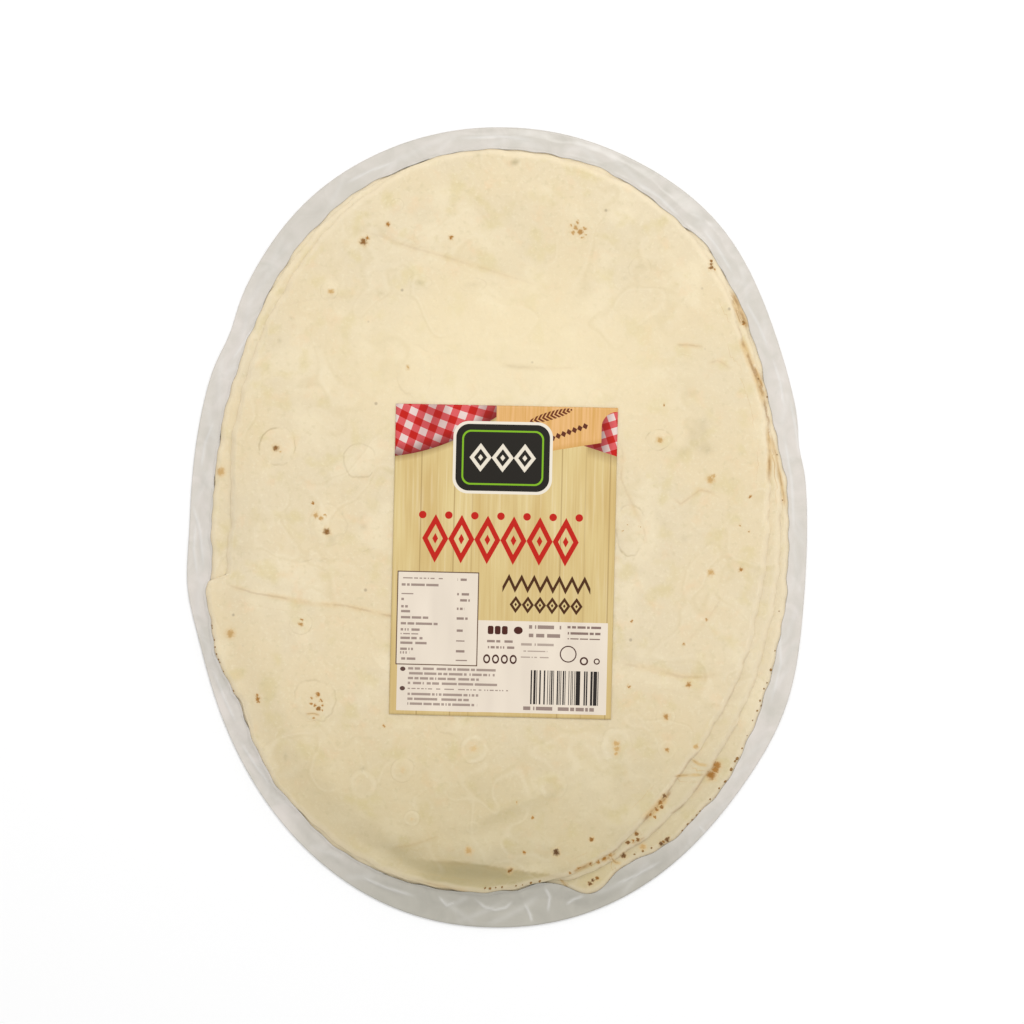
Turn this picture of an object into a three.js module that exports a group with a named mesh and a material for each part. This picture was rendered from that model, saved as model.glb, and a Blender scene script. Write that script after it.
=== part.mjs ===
// A clear film bag of oval tandoor flatbreads, lying flat, with a paper label on its front.
// Millimetres. +X is the label's right, +Y the label's top, +Z up from the surface the bag lies on.
// The origin is on that surface, under the middle of the bag.
import * as THREE from 'three';

// Driving dimensions
const SHEETS_UNDER = 4;            // sheets below the two that show their own edge from above
const SHEET_THICKNESS = 1.7;
const FILM = 0.3;                  // film and the air under it, where it lies on the bread
const RIM_THICKNESS = 1.0;         // two films and the air between them, at the bag's edge
const MARGIN_RISE = 1.6;           // how far the empty margin lifts off the table towards the bread
const PLEAT_HEIGHT = 0.8;
const PLEATS = 34;                 // puckers round the empty margin
const EDGE_RAMP = 2.4;             // width over which the film steps down past one sheet's edge
const TENT = 6;                    // width of the slope from the lower sheets' edge to the margin
const LABEL_THICKNESS = 0.3;
const LABEL_GAP = 0.45;            // from the bag's modelled top to the label's back
const SECTORS = 160;               // facets round the bag's edge
const INNER_RINGS = 23;

// An outline is a superellipse: half sizes a and b, exponent n, its centre, its tilt in degrees,
// and local bulges as [direction in degrees, width in degrees, height].
const BAG = {
  a: 140.4, b: 182.1, n: 2.1, centre: [0.7, 0], tilt: -0.5,
  bulges: [[15, 4, -1.4], [53, 14, 3.7], [121, 14, 2], [144, 5, -2.1], [191, 8, 2.3], [328, 14, 3.6]],
};
const LOWER_SHEETS = {
  a: 130.8, b: 169.8, n: 2.2, centre: [2.1, 0.8], tilt: 0,
  bulges: [[25, 14, -4], [59, 13, -2.6], [144, 14, -2.6], [200, 13, 4], [272, 14, -4], [281, 2.5, 5]],
};
const SECOND_SHEET = {
  a: 129.2, b: 168.4, n: 2.1, centre: [0, 3.2], tilt: -2.4,
  bulges: [[24, 14, -2.8], [50, 4, 1.5], [205, 14, 4], [242, 14, 3.6]],
};
const TOP_SHEET = {
  a: 123.9, b: 169.4, n: 2.1, centre: [-0.6, 3.9], tilt: -5,
  bulges: [[36, 6, -2.5], [78, 14, -3.3], [179, 14, -4], [227, 14, 4], [307, 14, -4]],
};

// Bubbles baked into the top sheet: [x, y, radius, height]
const BLISTERS = [
  [-99, 37, 10, 0.7], [-62, 31, 8, 0.5], [-35, 69, 11, 0.7], [-76, 107, 8, 0.5], [-81, -79, 11, 0.8],
  [-96, -106, 11, 0.6], [-21, -88, 9, 0.6], [54, -98, 9, 0.6], [62, -3, 10, 0.6], [-42, -109, 6, 0.4],
];
// Long soft creases in the stack: both ends, and the depth
const CREASES = [
  { from: [-128, -24], to: [-52, -37], depth: 0.6 },
  { from: [56, -62], to: [96, -68], depth: 0.6 },
  { from: [-66, 134], to: [12, 112], depth: 0.5 },
];
const CREASE_WIDTH = 3.5;
// The label's corners as it lies on the film: top left, top right, bottom right, bottom left
const LABEL_CORNERS = [[-45.6, 56.0], [54.7, 54.0], [51.5, -86.8], [-48.8, -84.2]];
const LABEL_COLUMNS = 14;
const LABEL_ROWS = 20;

function smooth(value) {
  const t = Math.min(1, Math.max(0, value));
  return t * t * (3 - 2 * t);
}

// Distance from the origin to an outline in one direction
function outlineRadius(outline, angle) {
  const tilt = THREE.MathUtils.degToRad(outline.tilt);
  let radius = outline.b;
  for (let pass = 0; pass < 14; pass += 1) {
    const x = radius * Math.cos(angle) - outline.centre[0];
    const y = radius * Math.sin(angle) - outline.centre[1];
    const across = Math.abs(x * Math.cos(tilt) + y * Math.sin(tilt)) / outline.a;
    const along = Math.abs(y * Math.cos(tilt) - x * Math.sin(tilt)) / outline.b;
    radius /= (across ** outline.n + along ** outline.n) ** (1 / outline.n);
  }
  const degrees = THREE.MathUtils.radToDeg(angle);
  for (const [direction, width, height] of outline.bulges) {
    const off = THREE.MathUtils.euclideanModulo(degrees - direction + 180, 360) - 180;
    radius += height * Math.exp(-((off / width) ** 2));
  }
  return radius;
}

// The empty film between the bag's edge and the bread: thin at the edge, puckered, lifting inwards
function marginHeight(angle, radius) {
  const rim = outlineRadius(BAG, angle);
  const stack = outlineRadius(LOWER_SHEETS, angle);
  const inwards = smooth((rim - radius) / (rim - stack));
  const wave = 0.5 + 0.5 * Math.sin(PLEATS * angle + 1.7 * Math.sin(5 * angle) + 0.9 * Math.sin(11 * angle));
  const pucker = PLEAT_HEIGHT * wave * 4 * inwards * (1 - inwards);
  return RIM_THICKNESS + MARGIN_RISE * inwards ** 2 + pucker;
}

// How much of one sheet's height the film has at a point: 1 over the sheet, then down to 0 past
// its edge over the ramp's width
function cover(outline, angle, radius, ramp) {
  return smooth(1 + (outlineRadius(outline, angle) - radius) / ramp);
}

function distanceToLine(x, y, from, to) {
  const line = new THREE.Line3(new THREE.Vector3(...from, 0), new THREE.Vector3(...to, 0));
  const point = new THREE.Vector3(x, y, 0);
  return line.closestPointToPoint(point, true, new THREE.Vector3()).distanceTo(point);
}

// The sheets aren't flat: long waves, a droop towards the bottom end, creases and baked bubbles
function breadRelief(x, y) {
  let height = 0.45 * Math.sin(x / 31 + 0.6) * Math.cos(y / 43 - 0.4) + 0.3 * Math.sin((x + y) / 26);
  height -= 1.8 * smooth((-y - 95) / 75) ** 2;
  for (const crease of CREASES) {
    const off = distanceToLine(x, y, crease.from, crease.to) / CREASE_WIDTH;
    height -= crease.depth * Math.exp(-(off ** 2));
  }
  for (const [bx, by, size, rise] of BLISTERS) {
    const off = Math.hypot(x - bx, y - by) / size;
    height += rise * smooth(1.25 - off);
  }
  return height;
}

function bagTop(x, y) {
  const angle = Math.atan2(y, x);
  const radius = Math.hypot(x, y);
  const lower = cover(LOWER_SHEETS, angle, radius, TENT);
  const second = cover(SECOND_SHEET, angle, radius, EDGE_RAMP);
  const top = cover(TOP_SHEET, angle, radius, EDGE_RAMP);
  const sheets = SHEETS_UNDER * lower + second + top;
  const inside = smooth((outlineRadius(TOP_SHEET, angle) - radius) / 14);
  const margin = marginHeight(angle, radius);
  return (1 - lower) * margin + lower * FILM + sheets * SHEET_THICKNESS + inside * breadRelief(x, y);
}

// Rings run round the bag from its edge to the middle: they bunch up where a sheet's edge steps,
// and the inner ones have fewer points, so that the facets stay even.
function edgeRings() {
  const between = (share) => (angle) => THREE.MathUtils.lerp(
    outlineRadius(BAG, angle), outlineRadius(LOWER_SHEETS, angle), share);
  const beside = (outline, offset) => (angle) => outlineRadius(outline, angle) + offset;
  return [
    between(0), between(0.15), between(0.4),
    beside(LOWER_SHEETS, TENT), beside(LOWER_SHEETS, 0.5 * TENT), beside(LOWER_SHEETS, 0),
    beside(SECOND_SHEET, EDGE_RAMP), beside(SECOND_SHEET, 0),
    beside(TOP_SHEET, EDGE_RAMP), beside(TOP_SHEET, 0),
  ];
}

function addRing(points, count, pointAt) {
  const ring = { start: points.length, count };
  for (let i = 0; i < count; i += 1) {
    points.push(pointAt((2 * Math.PI * i) / count, i));
  }
  return ring;
}

// Fills the band between two rings, whose counts may differ, with facets that look up
function stitch(faces, outer, inner) {
  let i = 0;
  let j = 0;
  while (i < outer.count || j < inner.count) {
    const a = outer.start + (i % outer.count);
    const b = inner.start + (j % inner.count);
    const outerIsNext = (i + 1) / outer.count <= (j + 1) / inner.count;
    if (j === inner.count || (i < outer.count && outerIsNext)) {
      i += 1;
      faces.push(a, outer.start + (i % outer.count), b);
    } else {
      j += 1;
      faces.push(a, inner.start + (j % inner.count), b);
    }
  }
}

function solidGeometry(points, faces) {
  const geometry = new THREE.BufferGeometry().setFromPoints(points);
  geometry.setIndex(faces);
  geometry.computeVertexNormals();
  return geometry;
}

// The filled bag as one solid: flat underneath, the draped film's shape on top
function bagGeometry() {
  const points = [];
  const faces = [];
  const onTop = (x, y) => new THREE.Vector3(x, y, bagTop(x, y));
  const foot = addRing(points, SECTORS, (angle) => {
    const radius = outlineRadius(BAG, angle);
    return new THREE.Vector3(radius * Math.cos(angle), radius * Math.sin(angle), 0);
  });

  let previous = foot;
  const lastRadius = new Array(SECTORS).fill(Infinity);
  for (const radiusAt of edgeRings()) {
    const ring = addRing(points, SECTORS, (angle, i) => {
      const radius = Math.min(radiusAt(angle), lastRadius[i] - 0.7);
      lastRadius[i] = radius;
      return onTop(radius * Math.cos(angle), radius * Math.sin(angle));
    });
    stitch(faces, previous, ring);
    previous = ring;
  }
  for (let k = 1; k < INNER_RINGS; k += 1) {
    const share = 1 - k / INNER_RINGS;
    const count = Math.max(8, Math.round(SECTORS * share));
    const ring = addRing(points, count, (angle) => {
      const radius = share * (outlineRadius(TOP_SHEET, angle) - EDGE_RAMP);
      return onTop(radius * Math.cos(angle), radius * Math.sin(angle));
    });
    stitch(faces, previous, ring);
    previous = ring;
  }

  const middle = points.push(onTop(0, 0)) - 1;
  const underside = points.push(new THREE.Vector3(0, 0, 0)) - 1;
  for (let i = 0; i < previous.count; i += 1) {
    faces.push(previous.start + i, previous.start + ((i + 1) % previous.count), middle);
  }
  for (let i = 0; i < foot.count; i += 1) {
    faces.push(foot.start + ((i + 1) % foot.count), foot.start + i, underside);
  }
  return solidGeometry(points, faces);
}

// The label is a sheet of paper bent over the film, between its four corners
function labelGeometry() {
  const [topLeft, topRight, bottomRight, bottomLeft] = LABEL_CORNERS.map((p) => new THREE.Vector2(...p));
  const points = [];
  const faces = [];
  const width = LABEL_COLUMNS + 1;
  const layer = width * (LABEL_ROWS + 1);
  for (const lift of [LABEL_GAP + LABEL_THICKNESS, LABEL_GAP]) {
    for (let row = 0; row <= LABEL_ROWS; row += 1) {
      const left = topLeft.clone().lerp(bottomLeft, row / LABEL_ROWS);
      const right = topRight.clone().lerp(bottomRight, row / LABEL_ROWS);
      for (let column = 0; column <= LABEL_COLUMNS; column += 1) {
        const p = left.clone().lerp(right, column / LABEL_COLUMNS);
        points.push(new THREE.Vector3(p.x, p.y, bagTop(p.x, p.y) + lift));
      }
    }
  }

  const quad = (a, b, c, d) => faces.push(a, b, c, a, c, d);
  for (let row = 0; row < LABEL_ROWS; row += 1) {
    for (let column = 0; column < LABEL_COLUMNS; column += 1) {
      const a = row * width + column;
      quad(a, a + width, a + width + 1, a + 1);
      quad(a + layer, a + layer + 1, a + layer + width + 1, a + layer + width);
    }
  }
  const border = [];
  for (let row = 0; row < LABEL_ROWS; row += 1) border.push(row * width);
  for (let column = 0; column < LABEL_COLUMNS; column += 1) border.push(LABEL_ROWS * width + column);
  for (let row = LABEL_ROWS; row > 0; row -= 1) border.push(row * width + LABEL_COLUMNS);
  for (let column = LABEL_COLUMNS; column > 0; column -= 1) border.push(column);
  border.forEach((a, i) => {
    const b = border[(i + 1) % border.length];
    quad(a, a + layer, b + layer, b);
  });
  return solidGeometry(points, faces);
}

function namedMesh(name, geometry, material) {
  const mesh = new THREE.Mesh(geometry, material);
  mesh.name = name;
  return mesh;
}

const breadUnderFilm = new THREE.MeshStandardMaterial({ color: '#ead9b4', roughness: 0.45, metalness: 0 });
const printedPaper = new THREE.MeshStandardMaterial({ color: '#dcc79a', roughness: 0.5, metalness: 0 });

const group = new THREE.Group();
group.add(namedMesh('bag', bagGeometry(), breadUnderFilm));
group.add(namedMesh('label', labelGeometry(), printedPaper));

export default group;
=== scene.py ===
"""A clear film bag of oval tandoor flatbreads with a paper label, lying on a pale table."""

import math

import bpy
import numpy as np
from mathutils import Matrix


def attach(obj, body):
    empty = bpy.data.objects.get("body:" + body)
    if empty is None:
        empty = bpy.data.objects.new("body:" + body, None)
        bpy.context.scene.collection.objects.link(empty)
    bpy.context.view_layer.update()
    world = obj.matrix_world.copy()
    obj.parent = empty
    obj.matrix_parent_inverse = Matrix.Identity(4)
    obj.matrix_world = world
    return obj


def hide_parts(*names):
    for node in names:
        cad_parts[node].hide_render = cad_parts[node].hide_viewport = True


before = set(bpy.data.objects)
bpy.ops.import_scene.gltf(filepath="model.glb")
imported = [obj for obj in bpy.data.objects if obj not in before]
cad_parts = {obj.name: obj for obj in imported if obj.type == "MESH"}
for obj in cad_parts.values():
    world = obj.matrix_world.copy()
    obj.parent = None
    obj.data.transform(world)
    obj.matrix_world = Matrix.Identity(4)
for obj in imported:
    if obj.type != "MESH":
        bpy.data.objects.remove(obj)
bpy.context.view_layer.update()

# --- The sheets of bread -----------------------------------------------------------------------
# Six thin oval lavash, of unleavened wheat dough rolled out, pricked and baked for seconds on a
# tandoor's wall, so they stay cream with a few scorched spots and bubbles. They lie loosely on
# each other: only the two topmost and the edge of the ones under them show.

MM = 0.001
SHEETS = 6
SHEET_THICKNESS = 1.7
FILM_UNDER = 0.15                   # from the table to the lowest sheet
SHEET_GAP = 0.1                     # the air between two sheets
# Every size below is in millimetres, from the middle of the bag.

# Outlines are superellipses with local bulges [direction in degrees, width in degrees, height].
BAG = {
    "a": 140.4, "b": 182.1, "n": 2.1, "centre": (0.7, 0.0), "tilt": -0.5,
    "bulges": [(15, 4, -1.4), (53, 14, 3.7), (121, 14, 2), (144, 5, -2.1), (191, 8, 2.3), (328, 14, 3.6)],
}
LOWER_SHEETS = {
    "a": 130.8, "b": 169.8, "n": 2.2, "centre": (2.1, 0.8), "tilt": 0,
    "bulges": [(25, 14, -4), (59, 13, -2.6), (54, 4, 2.6), (144, 14, -2.6), (200, 13, 4), (187.3, 2.2, -1.6),
               (192.3, 2.6, 1.4), (213, 4, -1.3), (272, 14, -4), (277.5, 3, -3.5), (284.5, 3, 5),
               (292, 3, -1.8),
               (313, 5, 1.6)],
}
SECOND_SHEET = {
    "a": 129.2, "b": 168.4, "n": 2.1, "centre": (0.0, 3.2), "tilt": -2.4,
    "bulges": [(24, 14, -2.8), (50, 4, 1.5), (205, 14, 4), (213, 4, -2), (242, 14, 3.6), (277.5, 3, -2.3)],
}
TOP_SHEET = {
    "a": 123.9, "b": 169.4, "n": 2.1, "centre": (-0.6, 3.9), "tilt": -5,
    "bulges": [(36, 6, -2.5), (78, 14, -3.3), (179, 14, -4), (227, 14, 4), (276, 3, -1.4), (307, 14, -4)],
}

# Bubbles baked into the top sheet: middle, half width, half height, rise, how clear its rim is, how
# toasted its top is, and how pale the ring inside its rim is
BUBBLES = [
    (-99.2, 36.6, 8.0, 8.2, 0.3, 1.0, 0.0, 0.1), (-62.0, 30.0, 7.2, 7.4, 0.2, 0.6, 0.0, 0.1),
    (-37.5, 71.0, 7.6, 11.4, 0.3, 0.3, 0.0, 0.2), (-75.9, 106.9, 4.0, 4.2, 0.2, 0.35, 0.6, 0.3),
    (-10.6, -100.0, 6.3, 6.3, 0.3, 0.4, 1.0, 1.0), (-42.6, -109.6, 5.0, 5.2, 0.3, 0.4, 0.7, 0.8),
    (-38.4, -131.6, 3.6, 3.6, 0.2, 0.4, 0.8, 0.6), (-20.6, -85.7, 7.6, 7.6, 0.3, 0.35, 0.0, 0.5),
    (54.0, -99.2, 7.0, 8.6, 0.3, 0.25, 0.3, 0.8), (60.3, -1.0, 6.4, 10.7, 0.3, 0.9, 0.0, 0.1),
    (73.2, 39.7, 5.6, 4.4, 0.2, 0.8, 1.0, 0.3), (-82.3, -78.2, 9.2, 9.0, 0.3, 0.5, 0.0, 0.5),
    (-88.6, -43.5, 4.6, 4.6, 0.2, 0.4, 0.0, 0.2), (64.6, 117.0, 5.0, 5.0, 0.2, 0.3, 0.0, 0.1),
    (25.1, -116.7, 6.4, 6.4, 0.2, 0.15, 0.0, 0.8), (-96.4, -104.5, 9.5, 10.0, 0.2, 0.15, 0.0, 0.4),
    (-34.8, 110.9, 5.0, 3.6, 0.2, 0.3, 0.0, 0.2), (-11.0, 109.8, 6.0, 3.2, 0.2, 0.25, 0.0, 0.2),
    (-45.0, 146.0, 2.8, 2.8, 0.1, 0.4, 0.0, 0.1), (-11.0, -135.4, 3.2, 3.2, 0.2, 0.2, 0.0, 0.6),
    (-60.5, -116.0, 6.0, 6.5, 0.2, 0.15, 0.0, 0.7), (77.0, -100.3, 4.2, 4.2, 0.2, 0.2, 0.0, 0.6),
    (76.4, -85.6, 4.4, 4.4, 0.2, 0.2, 0.0, 0.6), (36.4, 134.6, 8.4, 8.0, 0.2, 0.1, 0.0, 0.4),
    (-76.5, 1.0, 8.0, 9.0, 0.2, 0.25, 0.0, 0.2), (-32.5, 131.5, 5.2, 5.2, 0.1, 0.15, 0.0, 0.2),
]
# Long soft creases in the stack: both ends, and the depth
CREASES = [
    ((-128, -24), (-52, -37), 0.3),
    ((56, -62), (96, -68), 0.35),
    ((-66, 134), (12, 112), 0.4),
]
CREASE_WIDTH = 3.5
DROOP = 1.8                         # how far the stack comes down at its lower end
# Hollows in the bread that the film bridges: both ends, depth, half width
HOLLOWS = [
    ((-40, -157.0), (12, -162.0), 1.5, 4.0), ((-62, -143), (-38, -151), 0.7, 4.0),
    ((-21, -141), (44, -114), 0.35, 3.0), ((-50, -146), (-24, -138.6), 0.3, 3.0),
    ((70, 2), (66, 44), 0.25, 4.0), ((82, 60), (90, 26), 0.45, 5.0), ((62, 10), (78, -16), 0.3, 4.0),
    ((80, 14), (100, 16), 0.3, 3.0), ((-70, 22), (-69, -14), 0.3, 4.0), ((-3, 74.8), (40, 72.5), 0.25, 3.0),
    ((80, -108), (96, -110.5), 0.35, 1.6), ((58, -60), (92, -68), 0.3, 2.5),
]
# Lines where a sheet is cracked, tucked or toasted, painted tan and brown partly for toast and partly
# as painted shade in creases and in the gaps between sheets: how clear, half width, how much painted
# shade lies on the right of the line and over what width, and the points of each
CRACKS = [
    (0.26, 0.6, 0.16, 4.0, [
        (-126, -24.6), (-119, -27), (-109, -29.8), (-95, -32.1), (-82, -34.6), (-69, -35.2), (-48.5, -40.0),
        (-38, -42.0), (-28, -44.0)]),
    (0.18, 0.8, 0.12, 3.5, [(52.9, -61), (62, -62.5), (71, -64.2), (83, -67.5), (94, -67.8), (103, -65)]),
    (0.12, 0.7, 0.05, 3.0, [(-69, 136.5), (-52, 131.5), (-40, 127), (-27, 123.4), (-3, 116.2), (30, 106)]),
    (0.05, 0.7, 0.08, 3.0, [(-109, 98.5), (-84, 103), (-57, 105.3), (-40, 106)]),
    (0.15, 0.6, 0.12, 3.0, [(54.5, 44), (57, 33), (56, 22), (61, 11), (66, 1), (69, -12)]),
    (0.15, 0.5, 0.1, 2.0, [(78, 15), (83, 10.5), (92, 17), (96.5, 16), (103, 12)]),
    (0.25, 0.5, 0.12, 1.5, [(80.5, 82.7), (87, 82.4), (94, 81.6)]),
    (0.12, 0.5, 0.1, 2.0, [(95, 74), (100, 75.6), (107, 71)]),
    (0.08, 0.6, 0.15, 2.0, [(-3, 74.8), (10, 72.5), (26, 72), (40, 72.5)]),
    (0.65, 0.35, 0.2, 1.2, [(87.2, -104.4), (91.5, -107.2), (96.3, -108.0)]),
    (0.65, 0.35, 0.2, 1.2, [(79.3, -112.6), (86, -112.1), (94.5, -112.1)]),
    (0.6, 0.35, 0.2, 1.5, [(28, -158.7), (30.8, -162), (34, -167.2)]),
    (0.6, 0.35, 0.1, 1.0, [(51.5, -149.2), (53.5, -152), (57, -152.8)]),
    (0.5, 0.35, 0.0, 1.0, [(-87, -84.3), (-83, -84.0), (-79.6, -85.0)]),
    (0.0, 0.5, 0.1, 6.0, [(-21, -141), (2, -128), (24, -120.5), (44, -114)]),
    (0.1, 1.0, 0.7, 12.0, [(-48, -150), (-12, -152.4), (6, -155.5), (20, -157.5), (34, -159)]),
    (0.25, 0.6, 0.3, 2.0, [(-38, -159.5), (-24, -163), (-10, -166)]),
    (0.1, 0.6, 0.1, 3.0, [(85.4, -52), (95, -42), (104, -28)]),
    (0.1, 0.6, 0.15, 3.0, [(-50, -146), (-36, -143), (-24, -138.6)]),
    (0.7, 0.8, 0.0, 1.0, [(105.4, 108.5), (108.2, 103.5), (110.6, 98.0), (112.9, 92.5), (113.8, 89.5)]),
    (0.6, 0.4, 0.0, 1.0, [(106.0, 104.5), (108.7, 97.6), (111.2, 90.6)]),
    (0.65, 0.8, 0.0, 1.0,
     [(110.2, 86.5), (111.3, 83.5), (115.1, 74.4), (120.4, 60.9), (123.1, 48.8), (124.2, 44)]),
    (0.9, 0.4, 0.0, 1.0, [(116.6, 73.6), (118.6, 68.3), (121.0, 62.6)]),
    (0.7, 0.6, 0.0, 1.0, [(122.6, 53.0), (123.4, 42.8), (123.6, 34.0), (123.4, 27.7), (123.0, 19.0)]),
    (0.55, 0.45, 0.0, 1.0, [(123.2, 44.5), (126.4, 33.8), (130.2, 14.1), (131.0, 7.0)]),
    (0.75, 0.9, 0.0, 1.0, [(79.0, -118.6), (77.4, -121.2), (72.4, -126.6), (68.0, -131.0), (65.6, -133.6)]),
    (0.5, 0.5, 0.0, 1.0, [(54.6, -147.0), (50.6, -149.6), (46.8, -151.8)]),
    (0.6, 0.6, 0.0, 1.0, [(44.0, -151.4), (39.0, -153.8), (33.6, -156.4)]),
    (0.6, 0.5, 0.0, 1.0, [(67.4, -140.4), (64.2, -141.8), (60.8, -143.4)]),
]
# Scorched spots: middle, radius, and how dark
SCORCHES = [
    (-60.2, 129.2, 1.7, 0.75), (-58.6, 131.0, 0.9, 0.5), (-49.3, 137.0, 0.9, 0.5), (-20.8, 131.1, 0.9, 0.5),
    (-99.9, 36.0, 1.4, 0.75), (-98.0, 34.4, 0.5, 0.1), (-76.9, -1.9, 1.5, 0.75), (-83.4, 11.1, 0.6, 0.55),
    (-82.0, 5.5, 1.1, 0.15), (-79.8, 4.2, 0.9, 0.15), (-77.6, 5.6, 0.6, 0.15), (-88.1, -41.6, 0.6, 0.35),
    (-88.6, -43.6, 0.9, 0.3), (-108.6, -76.2, 0.8, 0.5), (-108.4, -77.6, 1.0, 0.55),
    (-108.0, -79.0, 0.7, 0.4), (-125.2, 25.3, 1.7, 0.05), (-120.7, -47.9, 1.8, 0.1),
    (96.9, 120.7, 0.7, 0.7), (97.0, 119.2, 0.9, 0.75), (97.2, 117.7, 1.1, 0.75), (98.7, 117.2, 0.7, 0.5),
    (110.3, -19.0, 1.0, 0.55), (96.7, -20.3, 1.3, 0.05), (86.6, -71.0, 1.2, 0.35), (76.4, -85.4, 1.3, 0.3),
    (59.7, -71.9, 0.7, 0.35), (61.0, -42.0, 0.5, 0.4), (76.8, -100.3, 1.0, 0.3), (26.7, -146.9, 1.6, 1.0),
    (42.9, -141.0, 1.1, 0.7), (12.3, -147.1, 0.8, 0.5), (5.9, -155.5, 1.2, 0.75), (16.3, -131.1, 0.6, 0.35),
    (9.0, -124.4, 0.4, 0.35), (99.9, -107.8, 1.8, 0.42), (99.0, -109.8, 1.7, 0.45),
    (97.2, -112.4, 2.2, 0.6), (42.2, -161.8, 1.1, 0.85), (43.7, -160.2, 1.0, 0.9), (45.2, -159.2, 0.9, 0.7),
    (63.3, -138.8, 1.0, 0.75), (59.2, -142.6, 1.0, 0.8), (61.6, -142.2, 0.8, 0.55),
    (63.9, -141.5, 0.9, 0.75), (57.4, -148.9, 1.2, 0.85), (75.6, -121.6, 1.0, 0.8),
    (74.0, -124.6, 1.0, 0.6), (72.3, -127.6, 0.9, 0.6), (69.5, -129.8, 0.7, 0.5), (74.6, -126.6, 1.0, 0.7),
    (71.4, -131.2, 0.6, 0.4), (77.4, -141.8, 1.2, 0.85), (74.6, -143.6, 1.2, 0.9), (75.9, -142.6, 0.8, 0.7),
    (51.6, -148.6, 0.9, 0.3), (48.6, -150.2, 1.0, 0.5), (45.6, -151.6, 0.9, 0.35), (42.4, -152.4, 0.9, 0.7),
    (37.0, -154.2, 0.7, 0.5), (33.0, -156.6, 0.6, 0.5), (112.1, 92.7, 0.8, 0.5), (114.4, 14.0, 0.7, 0.45),
    (110.3, 0.9, 0.5, 0.4), (113.9, -1.8, 0.5, 0.4), (94.9, -41.6, 0.5, 0.4), (84.5, -52.4, 0.5, 0.4),
    (-51.1, -89.5, 0.7, 0.3), (35.6, 135.6, 1.1, 0.2), (37.7, 133.6, 1.3, 0.3), (34.6, 133.4, 0.8, 0.2),
    (36.4, 138.0, 0.7, 0.25), (39.8, 135.2, 0.7, 0.2), (33.4, 136.6, 0.6, 0.2), (40.2, 132.4, 0.6, 0.25),
    (38.6, 131.0, 0.6, 0.2), (-80.9, -75.6, 0.9, 0.5), (-79.4, -78.2, 0.6, 0.45), (-83.6, -77.2, 0.5, 0.35),
    (-80.6, -81.8, 0.9, 0.7), (-84.0, -79.6, 0.6, 0.4), (-82.1, -80.6, 0.6, 0.5), (-78.7, -80.2, 0.6, 0.45),
    (-79.0, -82.4, 0.4, 0.4), (-82.6, -86.0, 0.5, 0.3), (90.0, -99.0, 1.0, 0.0), (66.2, -145.0, 1.4, 0.05),
    (-125.4, -118.0, 1.0, 0.3), (96.6, 21.6, 1.5, 0.06), (97.8, 23.2, 0.9, 0.03), (73.6, 39.4, 1.2, 0.1),
    (54.0, -97.6, 1.1, 0.0), (54.2, -100.2, 1.2, 0.02), (53.8, -102.2, 0.7, 0.0),
    (-12.7, -146.3, 1.5, 0.05), (59.0, 1.2, 0.35, 0.4), (56.8, -1.8, 0.35, 0.4), (64.6, 0.4, 0.35, 0.35),
    (-74.9, 106.6, 1.0, 0.0), (75.6, 55.4, 0.5, 0.5), (-40.2, 72.4, 0.8, 0.0),
]
# Bands of painted olive-grey shade on the bread: middle, half length, half width, direction in
# degrees, strength
PAINTED_SHADES = [
    (-20.0, -158.5, 16.0, 4.0, 6, 0.35), (20.0, -161.0, 12.0, 3.4, 12, 0.5),
    (-43.0, -149.0, 11.0, 4.0, -25, 0.3), (64.0, -110.0, 15.0, 5.0, 24, 0.1),
    (12.0, -127.0, 26.0, 3.4, 22, 0.14), (-10.0, -118.0, 20.0, 8.0, 10, 0.12),
    (93.0, 45.0, 3.4, 6.0, 0, 0.34), (95.0, 35.5, 4.2, 3.4, 0, 0.38), (88.0, 41.0, 3.0, 5.4, 20, 0.28),
    (84.0, 34.0, 5.0, 3.0, 40, 0.3), (-70.0, 16.0, 2.0, 7.0, 0, 0.2), (-35.0, 110.5, 3.4, 1.5, -5, 0.45),
    (-11.0, 109.6, 4.0, 1.6, 5, 0.3), (8.2, 165.4, 2.4, 1.5, 20, 0.8), (-8.8, 169.0, 2.0, 1.0, 0, 0.6),
    (-74.8, -5.4, 2.4, 2.6, 0, 0.4), (-60.4, 0.4, 2.2, 2.0, 0, 0.4), (65.4, 118.0, 2.0, 1.4, 0, 0.3),
    (57.8, 112.6, 1.8, 1.0, 0, 0.4), (-98.4, 84.4, 1.2, 1.2, 0, 0.5), (-93.0, 94.6, 1.4, 1.2, 0, 0.4),
    (-60.0, 148.6, 4.0, 1.6, 10, 0.3), (-75.0, 105.0, 14.0, 1.6, 3, 0.15),
    (-53.0, 106.6, 3.6, 1.6, -20, 0.3), (88.0, 60.6, 4.0, 2.0, 10, 0.25), (84.0, 74.0, 5.0, 1.6, 0, 0.2),
    (-95.8, -103.8, 0.9, 2.2, 0, 0.4), (-60.6, -109.0, 1.6, 1.0, 30, 0.5), (84.6, -5.0, 2.0, 2.4, 0, 0.3),
    (-23.0, 79.0, 8.0, 1.2, 4, 0.2), (10.0, 73.0, 8.0, 1.4, 0, 0.25), (75.0, 2.0, 2.4, 9.0, 25, 0.2),
]
# Where the sheets' rims are toasted: direction, width in degrees, strength
TOASTED_RIMS = [
    (39, 4, 0.35), (30, 4, 0.35), (20, 8, 0.3), (8, 12, 0.25), (325, 12, 0.3), (305, 9, 0.5), (290, 8, 0.5),
    (205, 10, 0.4),
]
THIN_RIM = 0.27                     # from the top of the sheet below to the top of a sheet's very edge
RIM_WIDTH = 3.0                     # over which a sheet thins to that
PRESSED = 0.72                      # share of its height that the stack keeps at its edge
PRESSED_WIDTH = 22.0                # over which it comes down to that
FLAP = (190.2, 215.0)               # directions between which the top sheet covers the second one


def smooth(value):
    t = np.clip(value, 0.0, 1.0)
    return t * t * (3 - 2 * t)


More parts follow.
